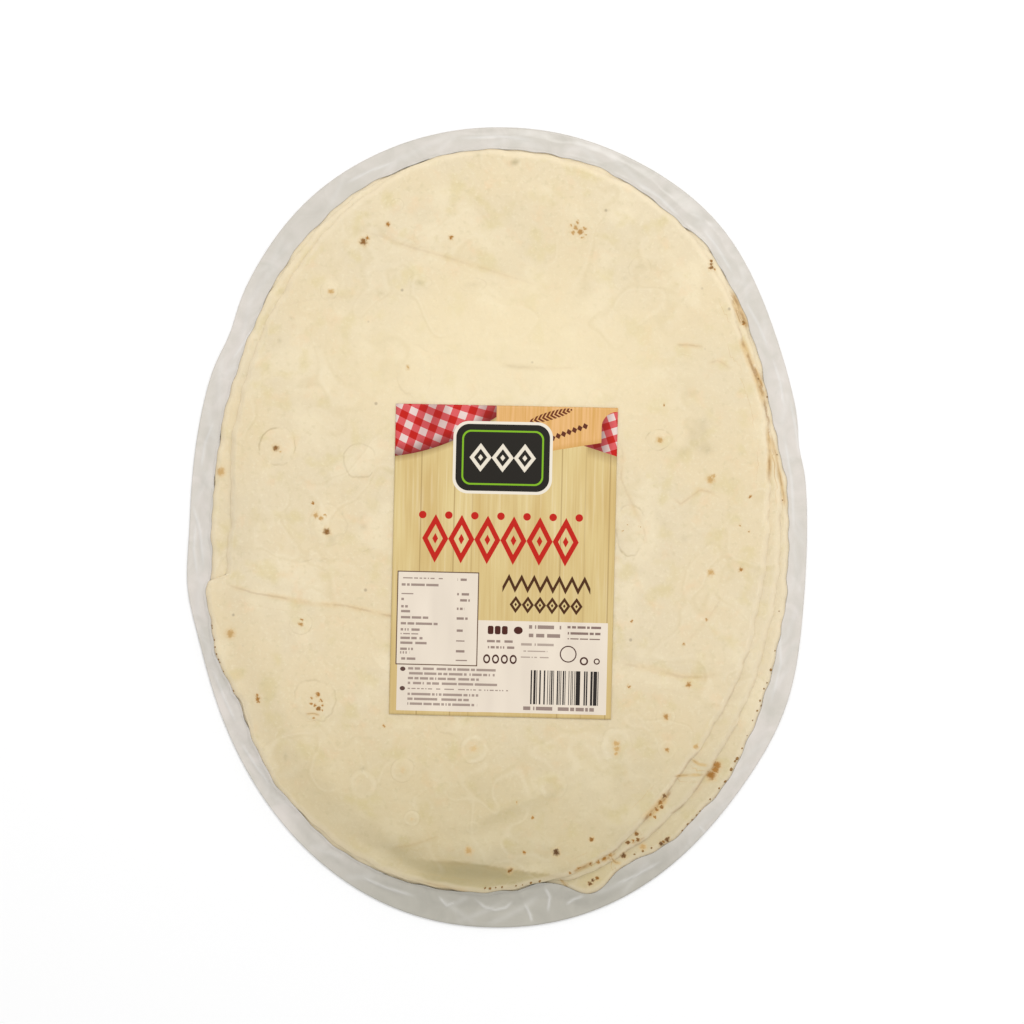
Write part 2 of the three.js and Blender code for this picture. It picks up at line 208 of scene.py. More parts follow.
def outline_radius(outline, angle):
    """Distance from the bag's middle to an outline, in each direction."""
    tilt = math.radians(outline["tilt"])
    radius = np.full(np.shape(angle), outline["b"], float)
    for _ in range(14):
        x = radius * np.cos(angle) - outline["centre"][0]
        y = radius * np.sin(angle) - outline["centre"][1]
        across = np.abs(x * math.cos(tilt) + y * math.sin(tilt)) / outline["a"]
        along = np.abs(y * math.cos(tilt) - x * math.sin(tilt)) / outline["b"]
        radius = radius / (across ** outline["n"] + along ** outline["n"]) ** (1 / outline["n"])
    for direction, width, height in outline["bulges"]:
        off = np.mod(np.degrees(angle) - direction + 180, 360) - 180
        radius = radius + height * np.exp(-((off / width) ** 2))
    return radius


def uneven(x, y, size, seed):
    """Smooth random unevenness between about -1 and 1, with bumps about as wide as size."""
    draw = np.random.default_rng(seed)
    total = np.zeros(np.shape(x))
    waves = 18
    for _ in range(waves):
        turn, phase = draw.uniform(0, 2 * math.pi, 2)
        pitch = 2 * math.pi / (size * draw.uniform(1.3, 2.8))
        total += np.sin(pitch * (x * math.cos(turn) + y * math.sin(turn)) + phase)
    return total / math.sqrt(waves / 2) / 2


def beside_path(x, y, path):
    """Distance from a path of straight lines, positive on its left, and the share of the way along."""
    away, share = np.full(np.shape(x), 1000.0), np.zeros(np.shape(x))
    for k, ((x0, y0), (x1, y1)) in enumerate(zip(path, path[1:])):
        dx, dy = x1 - x0, y1 - y0
        along = np.clip(((x - x0) * dx + (y - y0) * dy) / (dx * dx + dy * dy), 0, 1)
        distance = np.hypot(x - x0 - along * dx, y - y0 - along * dy)
        side = np.where(dx * (y - y0) - dy * (x - x0) < 0, -1.0, 1.0)
        nearer = distance < np.abs(away)
        away = np.where(nearer, side * distance, away)
        share = np.where(nearer, (k + along) / (len(path) - 1), share)
    return away, share


def fading_ends(share):
    return smooth(4 * share) * smooth(4 - 4 * share)


def stack_waves(x, y):
    """The sheets aren't flat: long waves, a droop towards the bottom end and soft creases."""
    waves = 0.45 * np.sin(x / 31 + 0.6) * np.cos(y / 43 - 0.4) + 0.3 * np.sin((x + y) / 26)
    waves = waves - DROOP * smooth((-y - 95) / 75) ** 2
    for start, end, depth in CREASES:
        waves = waves - depth * np.exp(-((beside_path(x, y, (start, end))[0] / CREASE_WIDTH) ** 2))
    inside = smooth((outline_radius(TOP_SHEET, np.arctan2(y, x)) - np.hypot(x, y)) / 14)
    return inside * waves


def bubble_rise(x, y):
    rise = np.zeros(np.shape(x))
    for bx, by, half_width, half_height, height, *_ in BUBBLES:
        off = np.hypot((x - bx) / half_width, (y - by) / half_height)
        rise += height * smooth((1.12 - off) / 0.5)
    return rise


def hollows(x, y):
    """How far the bread has sunk under the film, which it touches again at its edge."""
    depth = np.zeros(np.shape(x))
    for start, end, deep, half_width in HOLLOWS:
        away, _ = beside_path(x, y, (start, end))
        depth += deep * np.exp(-((away / half_width) ** 2))
    return depth * smooth((outline_radius(TOP_SHEET, np.arctan2(y, x)) - np.hypot(x, y) - 1) / 6)


def sheet_outline(number):
    """A sheet's outline, 1 at the bottom: those under the second vary by a millimetre or two."""
    if number == SHEETS:
        return TOP_SHEET
    if number == SHEETS - 1:
        return SECOND_SHEET
    draw = np.random.default_rng(40 + number)
    lean = [0.0, 1.8, 1.3, 0.9][SHEETS - 2 - number]
    outline = dict(LOWER_SHEETS)
    outline["a"] = LOWER_SHEETS["a"] - lean
    outline["b"] = LOWER_SHEETS["b"] - lean
    outline["centre"] = tuple(c + draw.uniform(-lean, lean) * 0.6 for c in LOWER_SHEETS["centre"])
    return outline


def sheet_edge(number, angle):
    """A sheet's outline with its small raggedness."""
    draw = np.random.default_rng(number)
    ragged = sum(0.2 * np.sin(waves * angle + phase)
                 for waves, phase in zip((17, 31, 47, 83), draw.uniform(0, 2 * math.pi, 4)))
    radius = outline_radius(sheet_outline(number), angle) + ragged
    if number == SHEETS:
        degrees = np.mod(np.degrees(angle), 360)
        flap = smooth((degrees - FLAP[0] + 0.4) / 0.8) * smooth((FLAP[1] - degrees) / 3)
        covered = np.maximum(sheet_edge(SHEETS - 1, angle), sheet_edge(SHEETS - 2, angle)) + 0.3
        radius = radius + flap * np.maximum(covered - radius, 0)
    return radius


def pressed(x, y):
    """Share of its thickness that each sheet has: the film presses the stack down at its edge."""
    inset = outline_radius(LOWER_SHEETS, np.arctan2(y, x)) - np.hypot(x, y)
    return PRESSED + (1 - PRESSED) * smooth(inset / PRESSED_WIDTH)


def sheet_top(number, x, y):
    """Height of a sheet's upper face. Sheet 0 is the film they lie on."""
    level = FILM_UNDER + SHEET_THICKNESS * pressed(x, y) * number
    level = level + (stack_waves(x, y) - hollows(x, y)) * number / SHEETS
    if number:
        level = level + 0.10 * uneven(x, y, 6, number) + 0.05 * uneven(x, y, 2.6, number + 20)
    return level + bubble_rise(x, y) if number == SHEETS else level


def thinned(inset):
    """Share of a sheet's thickness that is left at a distance inside its edge."""
    return smooth(inset / RIM_WIDTH + 0.06)


def sheet_face(number, x, y, inset):
    """Height of a sheet's upper face, which comes down to a thin rim."""
    edge = sheet_top(number - 1, x, y) + THIN_RIM
    return edge + (sheet_top(number, x, y) - edge) * thinned(inset)


def stitch(faces, outer, inner, looks_up):
    """Fills the band between two rings, each (first point, count), whose counts may differ."""
    i = j = 0
    while i < outer[1] or j < inner[1]:
        a = outer[0] + i % outer[1]
        b = inner[0] + j % inner[1]
        if j == inner[1] or (i < outer[1] and (i + 1) * inner[1] <= (j + 1) * outer[1]):
            i += 1
            corner = outer[0] + i % outer[1]
        else:
            j += 1
            corner = inner[0] + j % inner[1]
        faces.append((a, corner, b) if looks_up else (a, b, corner))


def oval_face(points, faces, edge_at, height_at, steps, looks_up):
    """Adds one face of an oval piece as rings from its edge to its middle, steps apart, with facets
    about as long as the steps. Returns the outermost ring."""
    size = edge_at(np.linspace(0, 2 * math.pi, 90, endpoint=False)).mean()
    outermost = previous = None
    inset = 0.0
    for step in steps(size):
        share = 1 - inset / size
        count = max(8, int(round(2 * math.pi * size * share / step)))
        angle = np.linspace(0, 2 * math.pi, count, endpoint=False)
        x, y = share * edge_at(angle) * np.cos(angle), share * edge_at(angle) * np.sin(angle)
        ring = (len(points), count)
        points.extend(zip(x, y, height_at(x, y, inset)))
        if previous:
            stitch(faces, previous, ring, looks_up)
        outermost, previous = outermost or ring, ring
        inset += step
    middle = len(points)
    points.append((0.0, 0.0, float(height_at(np.zeros(1), np.zeros(1), inset)[0])))
    for i in range(previous[1]):
        a, b = previous[0] + i, previous[0] + (i + 1) % previous[1]
        faces.append((a, b, middle) if looks_up else (b, a, middle))
    return outermost


def shaped_piece(name, points, faces, material):
    """A smooth mesh object from points in millimetres."""
    mesh = bpy.data.meshes.new(name)
    mesh.from_pydata((np.array(points, float) * MM).tolist(), [], faces)
    mesh.shade_smooth()
    mesh.materials.append(material)
    piece = bpy.data.objects.new(name, mesh)
    bpy.context.scene.collection.objects.link(piece)
    return piece


def note(piece, name, values, domain="POINT"):
    """Writes one number or one vector for each point or face, for the material to read."""
    values = np.asarray(values, np.float32)
    kind = "FLOAT" if values.ndim == 1 else "FLOAT_VECTOR"
    data = piece.data.attributes.new(name, kind, domain).data
    data.foreach_set("value" if kind == "FLOAT" else "vector", values.ravel())


def paint(code):
    """The linear colour of an sRGB hex code."""
    channels = [int(code[i:i + 2], 16) / 255 for i in (1, 3, 5)]
    return [c / 12.92 if c <= 0.04045 else ((c + 0.055) / 1.055) ** 2.4 for c in channels] + [1.0]


def add_node(tree, kind, inputs=(), give=0, **settings):
    """Adds a node with its settings and links, and gives one of its outputs. Inputs come in order or
    by name: each is a plain value, or what another node gave."""
    node = tree.nodes.new(kind)
    for key, value in settings.items():
        setattr(node, key, value)
    for key, value in inputs.items() if isinstance(inputs, dict) else enumerate(inputs):
        if isinstance(value, bpy.types.NodeSocket):
            tree.links.new(value, node.inputs[key])
        else:
            node.inputs[key].default_value = value
    return node.outputs[give] if node.outputs else node


def new_material(name):
    """An empty material, its node tree, and the place on the piece in millimetres."""
    material = bpy.data.materials.new(name)
    material.use_nodes = True
    tree = material.node_tree
    tree.nodes.clear()
    place = add_node(tree, "ShaderNodeTexCoord", give="Object")
    place = add_node(tree, "ShaderNodeVectorMath", {0: place, "Scale": 1 / MM}, operation="SCALE")
    return material, tree, place


def baked_dough():
    """Tandoor-baked wheat dough: a dry, matt cream skin with a broad painted pool of light above the
    middle, painted olive shade in bands, beside creases and towards the lower end, thin bubble rims
    painted as the shade in their grooves, toasted tan bubble tops, and scorched spots that are brown
    in the middle and tan round them."""
    material, tree, place = new_material("tandoor_baked_dough")

    def mottled(below, code, size, low, high, strength):
        """Lays a colour over the one below in soft patches about as wide as size."""
        noise = add_node(tree, "ShaderNodeTexNoise", {"Vector": place, "Scale": 1 / size, "Detail": 3.0})
        patch = add_node(tree, "ShaderNodeMapRange", (noise, low, high, 0.0, strength),
                         interpolation_type="SMOOTHSTEP")
        return add_node(tree, "ShaderNodeMix", {0: patch, 6: below, 7: paint(code)}, give=2, data_type="RGBA")

    def baked(below, code, distance, full, none, strength, *times):
        """Lays a colour over the one below: fully where the distance is full, not at all at none."""
        amount = add_node(tree, "ShaderNodeMapRange", (distance, full, none, strength, 0.0),
                          interpolation_type="SMOOTHSTEP")
        for other in times:
            amount = add_node(tree, "ShaderNodeMath", (amount, other), operation="MULTIPLY")
        ink = code if isinstance(code, bpy.types.NodeSocket) else paint(code)
        return add_node(tree, "ShaderNodeMix", {0: amount, 6: below, 7: ink}, give=2, data_type="RGBA")

    def broken(size, low, high):
        """1 in some places and 0 in others, so that a line isn't equally clear all along."""
        noise = add_node(tree, "ShaderNodeTexNoise", {"Vector": place, "Scale": 1 / size, "Detail": 2.0})
        return add_node(tree, "ShaderNodeMapRange", (noise, low, high))

    def away_from(here, centre, width):
        """Distance from a noted middle, as a share of the noted half width."""
        centre = add_node(tree, "ShaderNodeAttribute", give="Vector", attribute_name=centre)
        width = add_node(tree, "ShaderNodeAttribute", give="Vector", attribute_name=width)
        offset = add_node(tree, "ShaderNodeVectorMath", (here, centre), operation="SUBTRACT")
        offset = add_node(tree, "ShaderNodeVectorMath", (offset, width), operation="MULTIPLY")
        return add_node(tree, "ShaderNodeVectorMath", (offset,), give="Value", operation="LENGTH")

    colour = mottled(paint("#E9D9B6"), "#E7D9BA", 46, 0.38, 0.66, 1.0)
    colour = mottled(colour, "#F1E4C5", 21, 0.5, 0.68, 0.62)
    colour = mottled(colour, "#DFD09F", 12, 0.52, 0.72, 0.6)
    colour = mottled(colour, "#EED3AC", 8, 0.55, 0.78, 0.4)
    colour = mottled(colour, "#D4C79E", 2.6, 0.52, 0.76, 0.34)
    colour = mottled(colour, "#F5EBD0", 1.4, 0.52, 0.74, 0.34)
    # A painted pool of light, broad and soft, above the middle of the bread
    painted_light_pool = add_node(tree, "ShaderNodeAttribute", give="Fac", attribute_name="painted_light_pool")
    colour = baked(colour, "#F6E8C4", painted_light_pool, 1.0, 0.0, 0.6)
    # Painted shade that grows towards the lower end of the bread
    painted_low_shade = add_node(tree, "ShaderNodeAttribute", give="Fac", attribute_name="painted_low_shade")
    colour = baked(colour, "#A5954E", painted_low_shade, 1.0, 0.0, 0.22)
    # Painted olive shade: in listed bands, on one side of creases, and towards the lower end
    painted_shade = add_node(tree, "ShaderNodeAttribute", give="Fac", attribute_name="painted_shade")
    colour = baked(colour, "#9E9160", painted_shade, 1.0, 0.0, 0.62)

    # Faint wrinkles, in some places only, each painted as a line of shade beside a line of highlight
    wrinkle = add_node(tree, "ShaderNodeTexNoise", {
        "Vector": place, "Scale": 1 / 24.0, "Detail": 1.0, "Distortion": 0.3})
    for code, level, half_width, strength in (("#CDBC8A", 0.5, 0.03, 0.14), ("#F8EFD8", 0.46, 0.025, 0.12)):
        fold = add_node(tree, "ShaderNodeMath", (wrinkle, level), operation="SUBTRACT")
        fold = add_node(tree, "ShaderNodeMath", (fold,), operation="ABSOLUTE")
        colour = baked(colour, code, fold, 0.0, half_width, strength, broken(36, 0.4, 0.6))

    # Bubbles: a thin rim painted darker as the shade in its groove, broken in places, a pale ring inside it,
    # and on some a toasted top
    crumbs = add_node(tree, "ShaderNodeTexNoise", {"Vector": place, "Scale": 1 / 1.1, "Detail": 3.0})
    wobble = add_node(tree, "ShaderNodeTexNoise", {"Vector": place, "Scale": 1 / 7.0, "Detail": 2.0})
    share = away_from(place, "bubble_middle", "bubble_size")
    wobble = add_node(tree, "ShaderNodeMath", (wobble, 0.35), operation="SUBTRACT")
    share = add_node(tree, "ShaderNodeMath", (wobble, 0.5, share), operation="MULTIPLY_ADD")
    look = add_node(tree, "ShaderNodeAttribute", give="Vector", attribute_name="bubble_look")
    look = add_node(tree, "ShaderNodeSeparateXYZ", (look,)).node.outputs
    rim = add_node(tree, "ShaderNodeMath", (share, 1.11), operation="SUBTRACT")
    rim = add_node(tree, "ShaderNodeMath", (rim,), operation="ABSOLUTE")
    ring = add_node(tree, "ShaderNodeMath", (share, 0.9), operation="SUBTRACT")
    ring = add_node(tree, "ShaderNodeMath", (ring,), operation="ABSOLUTE")
    colour = baked(colour, "#F6EDD4", ring, 0.02, 0.26, 0.26, look["Z"], broken(11, 0.34, 0.6))
    colour = baked(colour, "#A8925F", rim, 0.0, 0.09, 0.4, look["X"], broken(9, 0.42, 0.6))
    top = add_node(tree, "ShaderNodeMath", (crumbs, 0.7, share), operation="MULTIPLY_ADD")
    colour = baked(colour, "#DDBE86", top, 0.4, 0.84, 0.7, look["Y"])

    # The rim of each sheet has a painted highlight along its thin edge, and is toasted in places
    inset = add_node(tree, "ShaderNodeAttribute", give="Fac", attribute_name="inset")
    toast = add_node(tree, "ShaderNodeAttribute", give="Fac", attribute_name="rim_toast")
    colour = baked(colour, "#F7E9CC", inset, 1.2, 3.4, 0.45)
    colour = baked(colour, "#A0733A", inset, 0.1, 1.3, 0.85, toast, broken(5, 0.36, 0.56))

    # Cracks, tucks and toasted streaks: tan and brown partly for toast and partly as painted shade in
    # the creases and in the gaps between sheets
    line = add_node(tree, "ShaderNodeAttribute", give="Fac", attribute_name="crack")
    line = add_node(tree, "ShaderNodeMath", (crumbs, 1.2, line), operation="MULTIPLY_ADD")
    line = add_node(tree, "ShaderNodeMath", (line, 0.6), operation="SUBTRACT")
    line = add_node(tree, "ShaderNodeMath", (line,), operation="ABSOLUTE")
    clear = add_node(tree, "ShaderNodeAttribute", give="Fac", attribute_name="crack_depth")
    colour = baked(colour, "#DAB570", line, 0.8, 3.4, 0.8, clear, broken(12, 0.3, 0.5))
    colour = baked(colour, "#9A6826", line, 0.1, 1.3, 0.8, clear, broken(7, 0.38, 0.56))

    # Scorched spots: ragged, brown in the middle and tan round them
    ragged = add_node(tree, "ShaderNodeTexNoise", {"Vector": place, "Scale": 1 / 1.3, "Detail": 3.0},
                      give="Color")
    ragged = add_node(tree, "ShaderNodeVectorMath", (ragged, (0.5, 0.5, 0.5)), operation="SUBTRACT")
    ragged = add_node(tree, "ShaderNodeVectorMath", (ragged, (2.6, 2.6, 0.0), place),
                      operation="MULTIPLY_ADD")
    share = away_from(ragged, "spot_middle", "spot_size")
    spot = add_node(tree, "ShaderNodeAttribute", give="Vector", attribute_name="spot_look")
    spot = add_node(tree, "ShaderNodeSeparateXYZ", (spot,)).node.outputs
    scorched = baked(paint("#D0AC72"), "#AB7424", spot["Y"], 0.5, 0.0, 1.0)
    scorched = baked(scorched, "#5C3610", spot["Y"], 1.0, 0.5, 1.0)
    colour = baked(colour, "#E0C490", share, 0.7, 2.1, 0.6)
    colour = baked(colour, scorched, share, 0.45, 1.25, 0.95)

    # A few flecks of bran, far apart
    flecks = add_node(tree, "ShaderNodeTexVoronoi", {"Vector": place, "Scale": 1 / 15.0}).node.outputs
    few = add_node(tree, "ShaderNodeSeparateColor", (flecks["Color"],))
    few = add_node(tree, "ShaderNodeMath", (few, 0.45), operation="LESS_THAN")
    colour = baked(colour, "#8F7F68", flecks["Distance"], 0.02, 0.07, 0.5, few)

    relief = add_node(tree, "ShaderNodeTexNoise", {"Vector": place, "Scale": 1 / 1.8, "Detail": 5.0})
    for distance, width, deep, clearness in ((rim, 0.1, 0.4, look["X"]), (line, 1.4, 0.6, clear)):
        groove = add_node(tree, "ShaderNodeMapRange", (distance, 0.0, width, deep, 0.0),
                          interpolation_type="SMOOTHSTEP")
        groove = add_node(tree, "ShaderNodeMath", (groove, clearness), operation="MULTIPLY")
        relief = add_node(tree, "ShaderNodeMath", (relief, groove), operation="SUBTRACT")
    relief = add_node(tree, "ShaderNodeBump", {"Strength": 0.55, "Distance": 0.22 * MM, "Height": relief})
    skin = add_node(tree, "ShaderNodeBsdfPrincipled", {
        "Base Color": colour, "Roughness": 0.8, "Specular IOR Level": 0.2, "Normal": relief})
    add_node(tree, "ShaderNodeOutputMaterial", {"Surface": skin})
    return material


def nearest(middles, x, y):
    """The index of the nearest of some middles, for each point."""
    return np.argmin([np.hypot(x - m[0], y - m[1]) / m[2] ** 0.5 for m in middles], axis=0)


def describe_dough(piece, number):
    """Notes on the mesh where the dough is scorched, bubbled, cracked or toasted at its rim, and
    where shade and a pool of light are painted on it.
    """
    count = len(piece.data.vertices)
    at = np.zeros(count * 3)
    piece.data.vertices.foreach_get("co", at)
    x, y = at.reshape(-1, 3)[:, 0] / MM, at.reshape(-1, 3)[:, 1] / MM
    corners = np.zeros(len(piece.data.loops), int)
    piece.data.loops.foreach_get("vertex_index", corners)
    fx, fy = x[corners].reshape(-1, 3).mean(1), y[corners].reshape(-1, 3).mean(1)

    flat = np.zeros(len(fx))
    spots = np.array(SCORCHES)[nearest(SCORCHES, fx, fy)]
    note(piece, "spot_middle", np.c_[spots[:, :2], flat], "FACE")
    note(piece, "spot_size", np.c_[1 / spots[:, 2], 1 / spots[:, 2], flat], "FACE")
    note(piece, "spot_look", np.c_[flat, spots[:, 3], flat], "FACE")
    bubbles = np.array(BUBBLES)[nearest(BUBBLES, fx, fy)]
    if number < SHEETS:
        bubbles[:, 5:] = 0
    note(piece, "bubble_middle", np.c_[bubbles[:, :2], flat], "FACE")
    note(piece, "bubble_size", np.c_[1 / bubbles[:, 2], 1 / bubbles[:, 3], flat], "FACE")
    note(piece, "bubble_look", bubbles[:, 5:], "FACE")

    # Painted shade that grows towards the lower end of the bread
    note(piece, "painted_low_shade", smooth((-y - 30) / 130))
    # Painted shade: more towards the lower end, in listed bands, and on one side of each crease
    painted_shade = 0.28 * smooth((-y - 60) / 110)
    for mx, my, half_length, half_width, direction, strength in PAINTED_SHADES:
        c, s = math.cos(math.radians(direction)), math.sin(math.radians(direction))
        u, v = (x - mx) * c + (y - my) * s, (y - my) * c - (x - mx) * s
        painted_shade += strength * np.exp(-((u / half_length) ** 2) - (v / half_width) ** 2)
    crack, depth = np.full(count, 9.0), np.zeros(count)
    for clear, half_width, shade, shade_width, path in CRACKS:
        away, share = beside_path(x, y, path)
        painted_shade += shade * fading_ends(share) * np.where(
            away < 0, np.exp(-((away / shade_width) ** 2)), smooth(1 - away))
        closer = np.abs(away / half_width) < np.abs(crack)
        crack = np.where(closer, away / half_width, crack)
        depth = np.where(closer, clear * fading_ends(share), depth)
    note(piece, "crack", crack)
    note(piece, "crack_depth", depth)
    note(piece, "painted_shade", np.clip(painted_shade, 0, 1))
    # A painted pool of light above the label
    note(piece, "painted_light_pool", np.exp(-(((x - 5) / 85) ** 2) - ((y - 72) / 48) ** 2))

    angle = np.arctan2(y, x)
    toast = np.full(count, 0.1)
    for direction, width, strength in TOASTED_RIMS:
        off = np.mod(np.degrees(angle) - direction + 180, 360) - 180
        toast = np.maximum(toast, strength * np.exp(-((off / width) ** 2)))
    note(piece, "rim_toast", toast)
    note(piece, "inset", np.clip(sheet_edge(number, angle) - np.hypot(x, y), 0, 9))


DOUGH = baked_dough()


def flatbread(number):
    is_top = number == SHEETS

    def top_at(x, y, inset):
        return sheet_face(number, x, y, inset)

    def under_at(x, y, inset):
        return sheet_top(number - 1, x, y) + SHEET_GAP

    def top_steps(size):
        steps = [0.4, 0.45, 0.5]
        while sum(steps) < size - 2:
            hidden = not is_top and sum(steps) > 24
            steps.append(6.0 if hidden else 0.95 if is_top else 1.2)
        return steps

    def under_steps(size):
        steps = [0.5, 0.6]
        while sum(steps) < size - 4:
            shows = number == 1 or sum(steps) < 5
            steps.append(2.2 if shows else 6.0)
        return steps

    points, faces = [], []
    rim = oval_face(points, faces, lambda angle: sheet_edge(number, angle), top_at, top_steps, True)
    under_rim = oval_face(points, faces, lambda angle: sheet_edge(number, angle), under_at, under_steps,
                          False)
    stitch(faces, under_rim, rim, looks_up=True)
    piece = shaped_piece(f"flatbread_{number}", points, faces, DOUGH)
    describe_dough(piece, number)
    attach(piece, "root")
    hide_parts("bag")


for sheet in range(1, SHEETS + 1):
    flatbread(sheet)

# --- The docker pricks -------------------------------------------------------------------------
# Before it's baked each sheet is pricked along its edge with a spiked roller, so that it doesn't
# puff up there. The crumb round each prick scorches to a small dark brown button.

PRICK_INSET = 0.5                   # least distance of a prick from the bread's edge

# Middle and radius
PRICKS = [
    (126.1, -56.0, 0.4), (124.1, -64.6, 0.7), (122.5, -70.5, 0.35), (121.1, -73.2, 0.4),
    (119.3, -78.6, 0.45), (119.8, -80.9, 0.35), (118.0, -83.2, 0.5), (116.0, -87.6, 0.3),
    (113.5, -94.5, 0.3), (111.2, -100.3, 0.45), (108.9, -104.9, 0.9), (108.0, -106.1, 0.6),
    (106.2, -109.8, 0.7), (103.5, -115.3, 0.6), (100.8, -118.4, 0.45), (96.7, -123.4, 0.5),
    (92.2, -128.8, 0.4), (90.9, -131.1, 0.6), (89.0, -133.3, 0.5), (86.8, -135.1, 0.55),
    (84.5, -138.3, 0.55), (70.1, -145.5, 0.45), (66.2, -146.9, 0.55), (62.4, -148.3, 0.4),
    (-129.9, -44.7, 0.4), (-129.7, -45.8, 0.35), (-128.4, -51.1, 0.4), (-127.7, -54.2, 0.4),
    (-127.0, -57.4, 0.4), (-126.3, -59.9, 0.5), (-126.0, -61.3, 0.45), (-124.3, -65.5, 0.3),
    (-120.2, -74.6, 0.5), (-5.4, -163.4, 0.45), (-3.2, -163.6, 0.6), (-0.6, -163.2, 0.35),
    (2.3, -163.0, 0.45), (8.6, -162.4, 0.4), (15.4, -161.0, 0.55), (19.4, -160.3, 0.55),
    (11.6, -162.0, 0.3), (111.6, 93.1, 0.6), (122.5, 59.2, 0.45), (118.4, 67.4, 0.4), (127.0, 33.0, 0.4),
    (129.6, 12.4, 0.35), (128.0, -38.0, 0.35),
]


def bread_edge(angle):
    """Distance from the middle to the edge of the bread that shows, whichever upper sheet's it is."""
    return np.max([sheet_edge(number, angle) for number in (SHEETS - 2, SHEETS - 1, SHEETS)], axis=0)


def stack_top(x, y):
    """Height of the bread's upper surface, whichever sheet that is."""
    angle, radius = np.arctan2(y, x), np.hypot(x, y)
    height = np.zeros(np.shape(x))
    for number in range(1, SHEETS + 1):
        inset = sheet_edge(number, angle) - radius
        height = np.where(inset > 0.2, sheet_face(number, x, y, inset), height)
    return height


def scorched_crumb():
    """Burnt crumb of wheat dough round a prick: matt dark brown, lighter and redder at its rim."""
    material, tree, place = new_material("scorched_crumb")
    noise = add_node(tree, "ShaderNodeTexNoise", {"Vector": place, "Scale": 1 / 0.6, "Detail": 3.0})
    colour = add_node(tree, "ShaderNodeMix", {0: noise, 6: paint("#74521F"), 7: paint("#B58A4C")}, give=2,
                      data_type="RGBA")
    crust = add_node(tree, "ShaderNodeBsdfPrincipled", {"Base Color": colour, "Roughness": 0.85})
    add_node(tree, "ShaderNodeOutputMaterial", {"Surface": crust})
    return material


def prick_nodes():
    """Puts a ragged low button on each point, as wide as the point's noted radius says."""
    tree = bpy.data.node_groups.new("docker_pricks", "GeometryNodeTree")
    tree.interface.new_socket("Geometry", in_out="OUTPUT", socket_type="NodeSocketGeometry")
    for name, kind in (("Geometry", "Geometry"), ("Flatness", "Float"), ("Raggedness", "Float"),
                       ("Seed", "Int"), ("Crumb", "Material")):
        tree.interface.new_socket(name, in_out="INPUT", socket_type="NodeSocket" + kind)
    given = add_node(tree, "NodeGroupInput").node.outputs
    button = add_node(tree, "GeometryNodeMeshIcoSphere", (1.0, 2))
    radius = add_node(tree, "GeometryNodeInputNamedAttribute", ("radius",), data_type="FLOAT")
    stretch = add_node(tree, "FunctionNodeRandomValue",
                       {0: (0.8, 0.8, 1.0), 1: (1.3, 1.3, 1.0), "Seed": given["Seed"]},
                       data_type="FLOAT_VECTOR")
    flat = add_node(tree, "ShaderNodeCombineXYZ", (1.0, 1.0, given["Flatness"]))
    shape = add_node(tree, "ShaderNodeVectorMath", (stretch, flat), operation="MULTIPLY")
    shape = add_node(tree, "ShaderNodeVectorMath", {0: shape, "Scale": radius}, operation="SCALE")
    turn = add_node(tree, "FunctionNodeRandomValue",
                    {0: (0.0, 0.0, 0.0), 1: (0.0, 0.0, 6.283), "Seed": given["Seed"]},
                    data_type="FLOAT_VECTOR")
    turn = add_node(tree, "FunctionNodeEulerToRotation", (turn,))
    placed = add_node(tree, "GeometryNodeInstanceOnPoints", {
        "Points": given["Geometry"], "Instance": button, "Rotation": turn, "Scale": shape})
    solid = add_node(tree, "GeometryNodeRealizeInstances", (placed,))
    noise = add_node(tree, "ShaderNodeTexNoise", {"Scale": 1800.0}, give="Color")
    nudge = add_node(tree, "ShaderNodeVectorMath", (noise, (0.5, 0.5, 0.5)), operation="SUBTRACT")
    nudge = add_node(tree, "ShaderNodeVectorMath", {0: nudge, "Scale": given["Raggedness"]},
                     operation="SCALE")
    ragged = add_node(tree, "GeometryNodeSetPosition", {0: solid, "Offset": nudge})
    coloured = add_node(tree, "GeometryNodeSetMaterial", {0: ragged, "Material": given["Crumb"]})
    add_node(tree, "NodeGroupOutput", (coloured,))
    return tree


def docker_pricks():
    at = np.array(PRICKS)
    furthest = bread_edge(np.arctan2(at[:, 1], at[:, 0])) - PRICK_INSET
    at[:, :2] *= np.minimum(1, furthest / np.hypot(at[:, 0], at[:, 1]))[:, None]
    points = np.c_[at[:, :2], stack_top(at[:, 0], at[:, 1]) + 0.02]
    piece = shaped_piece("docker_pricks", points, [], scorched_crumb())
    note(piece, "radius", at[:, 2] * MM)
    grow = piece.modifiers.new("pricks", "NODES")
    grow.node_group = prick_nodes()
    wanted = {"Flatness": 0.3, "Raggedness": 0.25 * MM, "Seed": 7, "Crumb": piece.data.materials[0]}
    for socket in grow.node_group.interface.items_tree:
        if socket.in_out == "INPUT" and socket.name in wanted:
            grow[socket.identifier] = wanted[socket.name]
    live = bpy.context.evaluated_depsgraph_get()
    grown = bpy.data.meshes.new_from_object(piece.evaluated_get(live), depsgraph=live)
    piece.modifiers.clear()
    piece.data = grown
    grown.name = "docker_pricks"
    grown.shade_smooth()
    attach(piece, "root")
    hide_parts("bag")


docker_pricks()

# --- The bag -----------------------------------------------------------------------------------
# Two layers of thin clear polypropylene film, welded round the edge. The upper one is drawn down
# over the stack and puckers in the empty margin, where it looks milky.

FILM_OVER = 0.5                     # from the table to the film, more than the sheets are thick
RIM_THICKNESS = 1.0
MARGIN_RISE = 1.6
PLEATS = 34
PLEAT_HEIGHT = 0.5
TENT = 8.0                          # width of the slope from the lower sheets' edge to the margin
STEP_SLOPE = 3.0                    # how steeply it comes down past the edge of each upper sheet
STEP_START = 0.35                   # how far past that edge it starts to

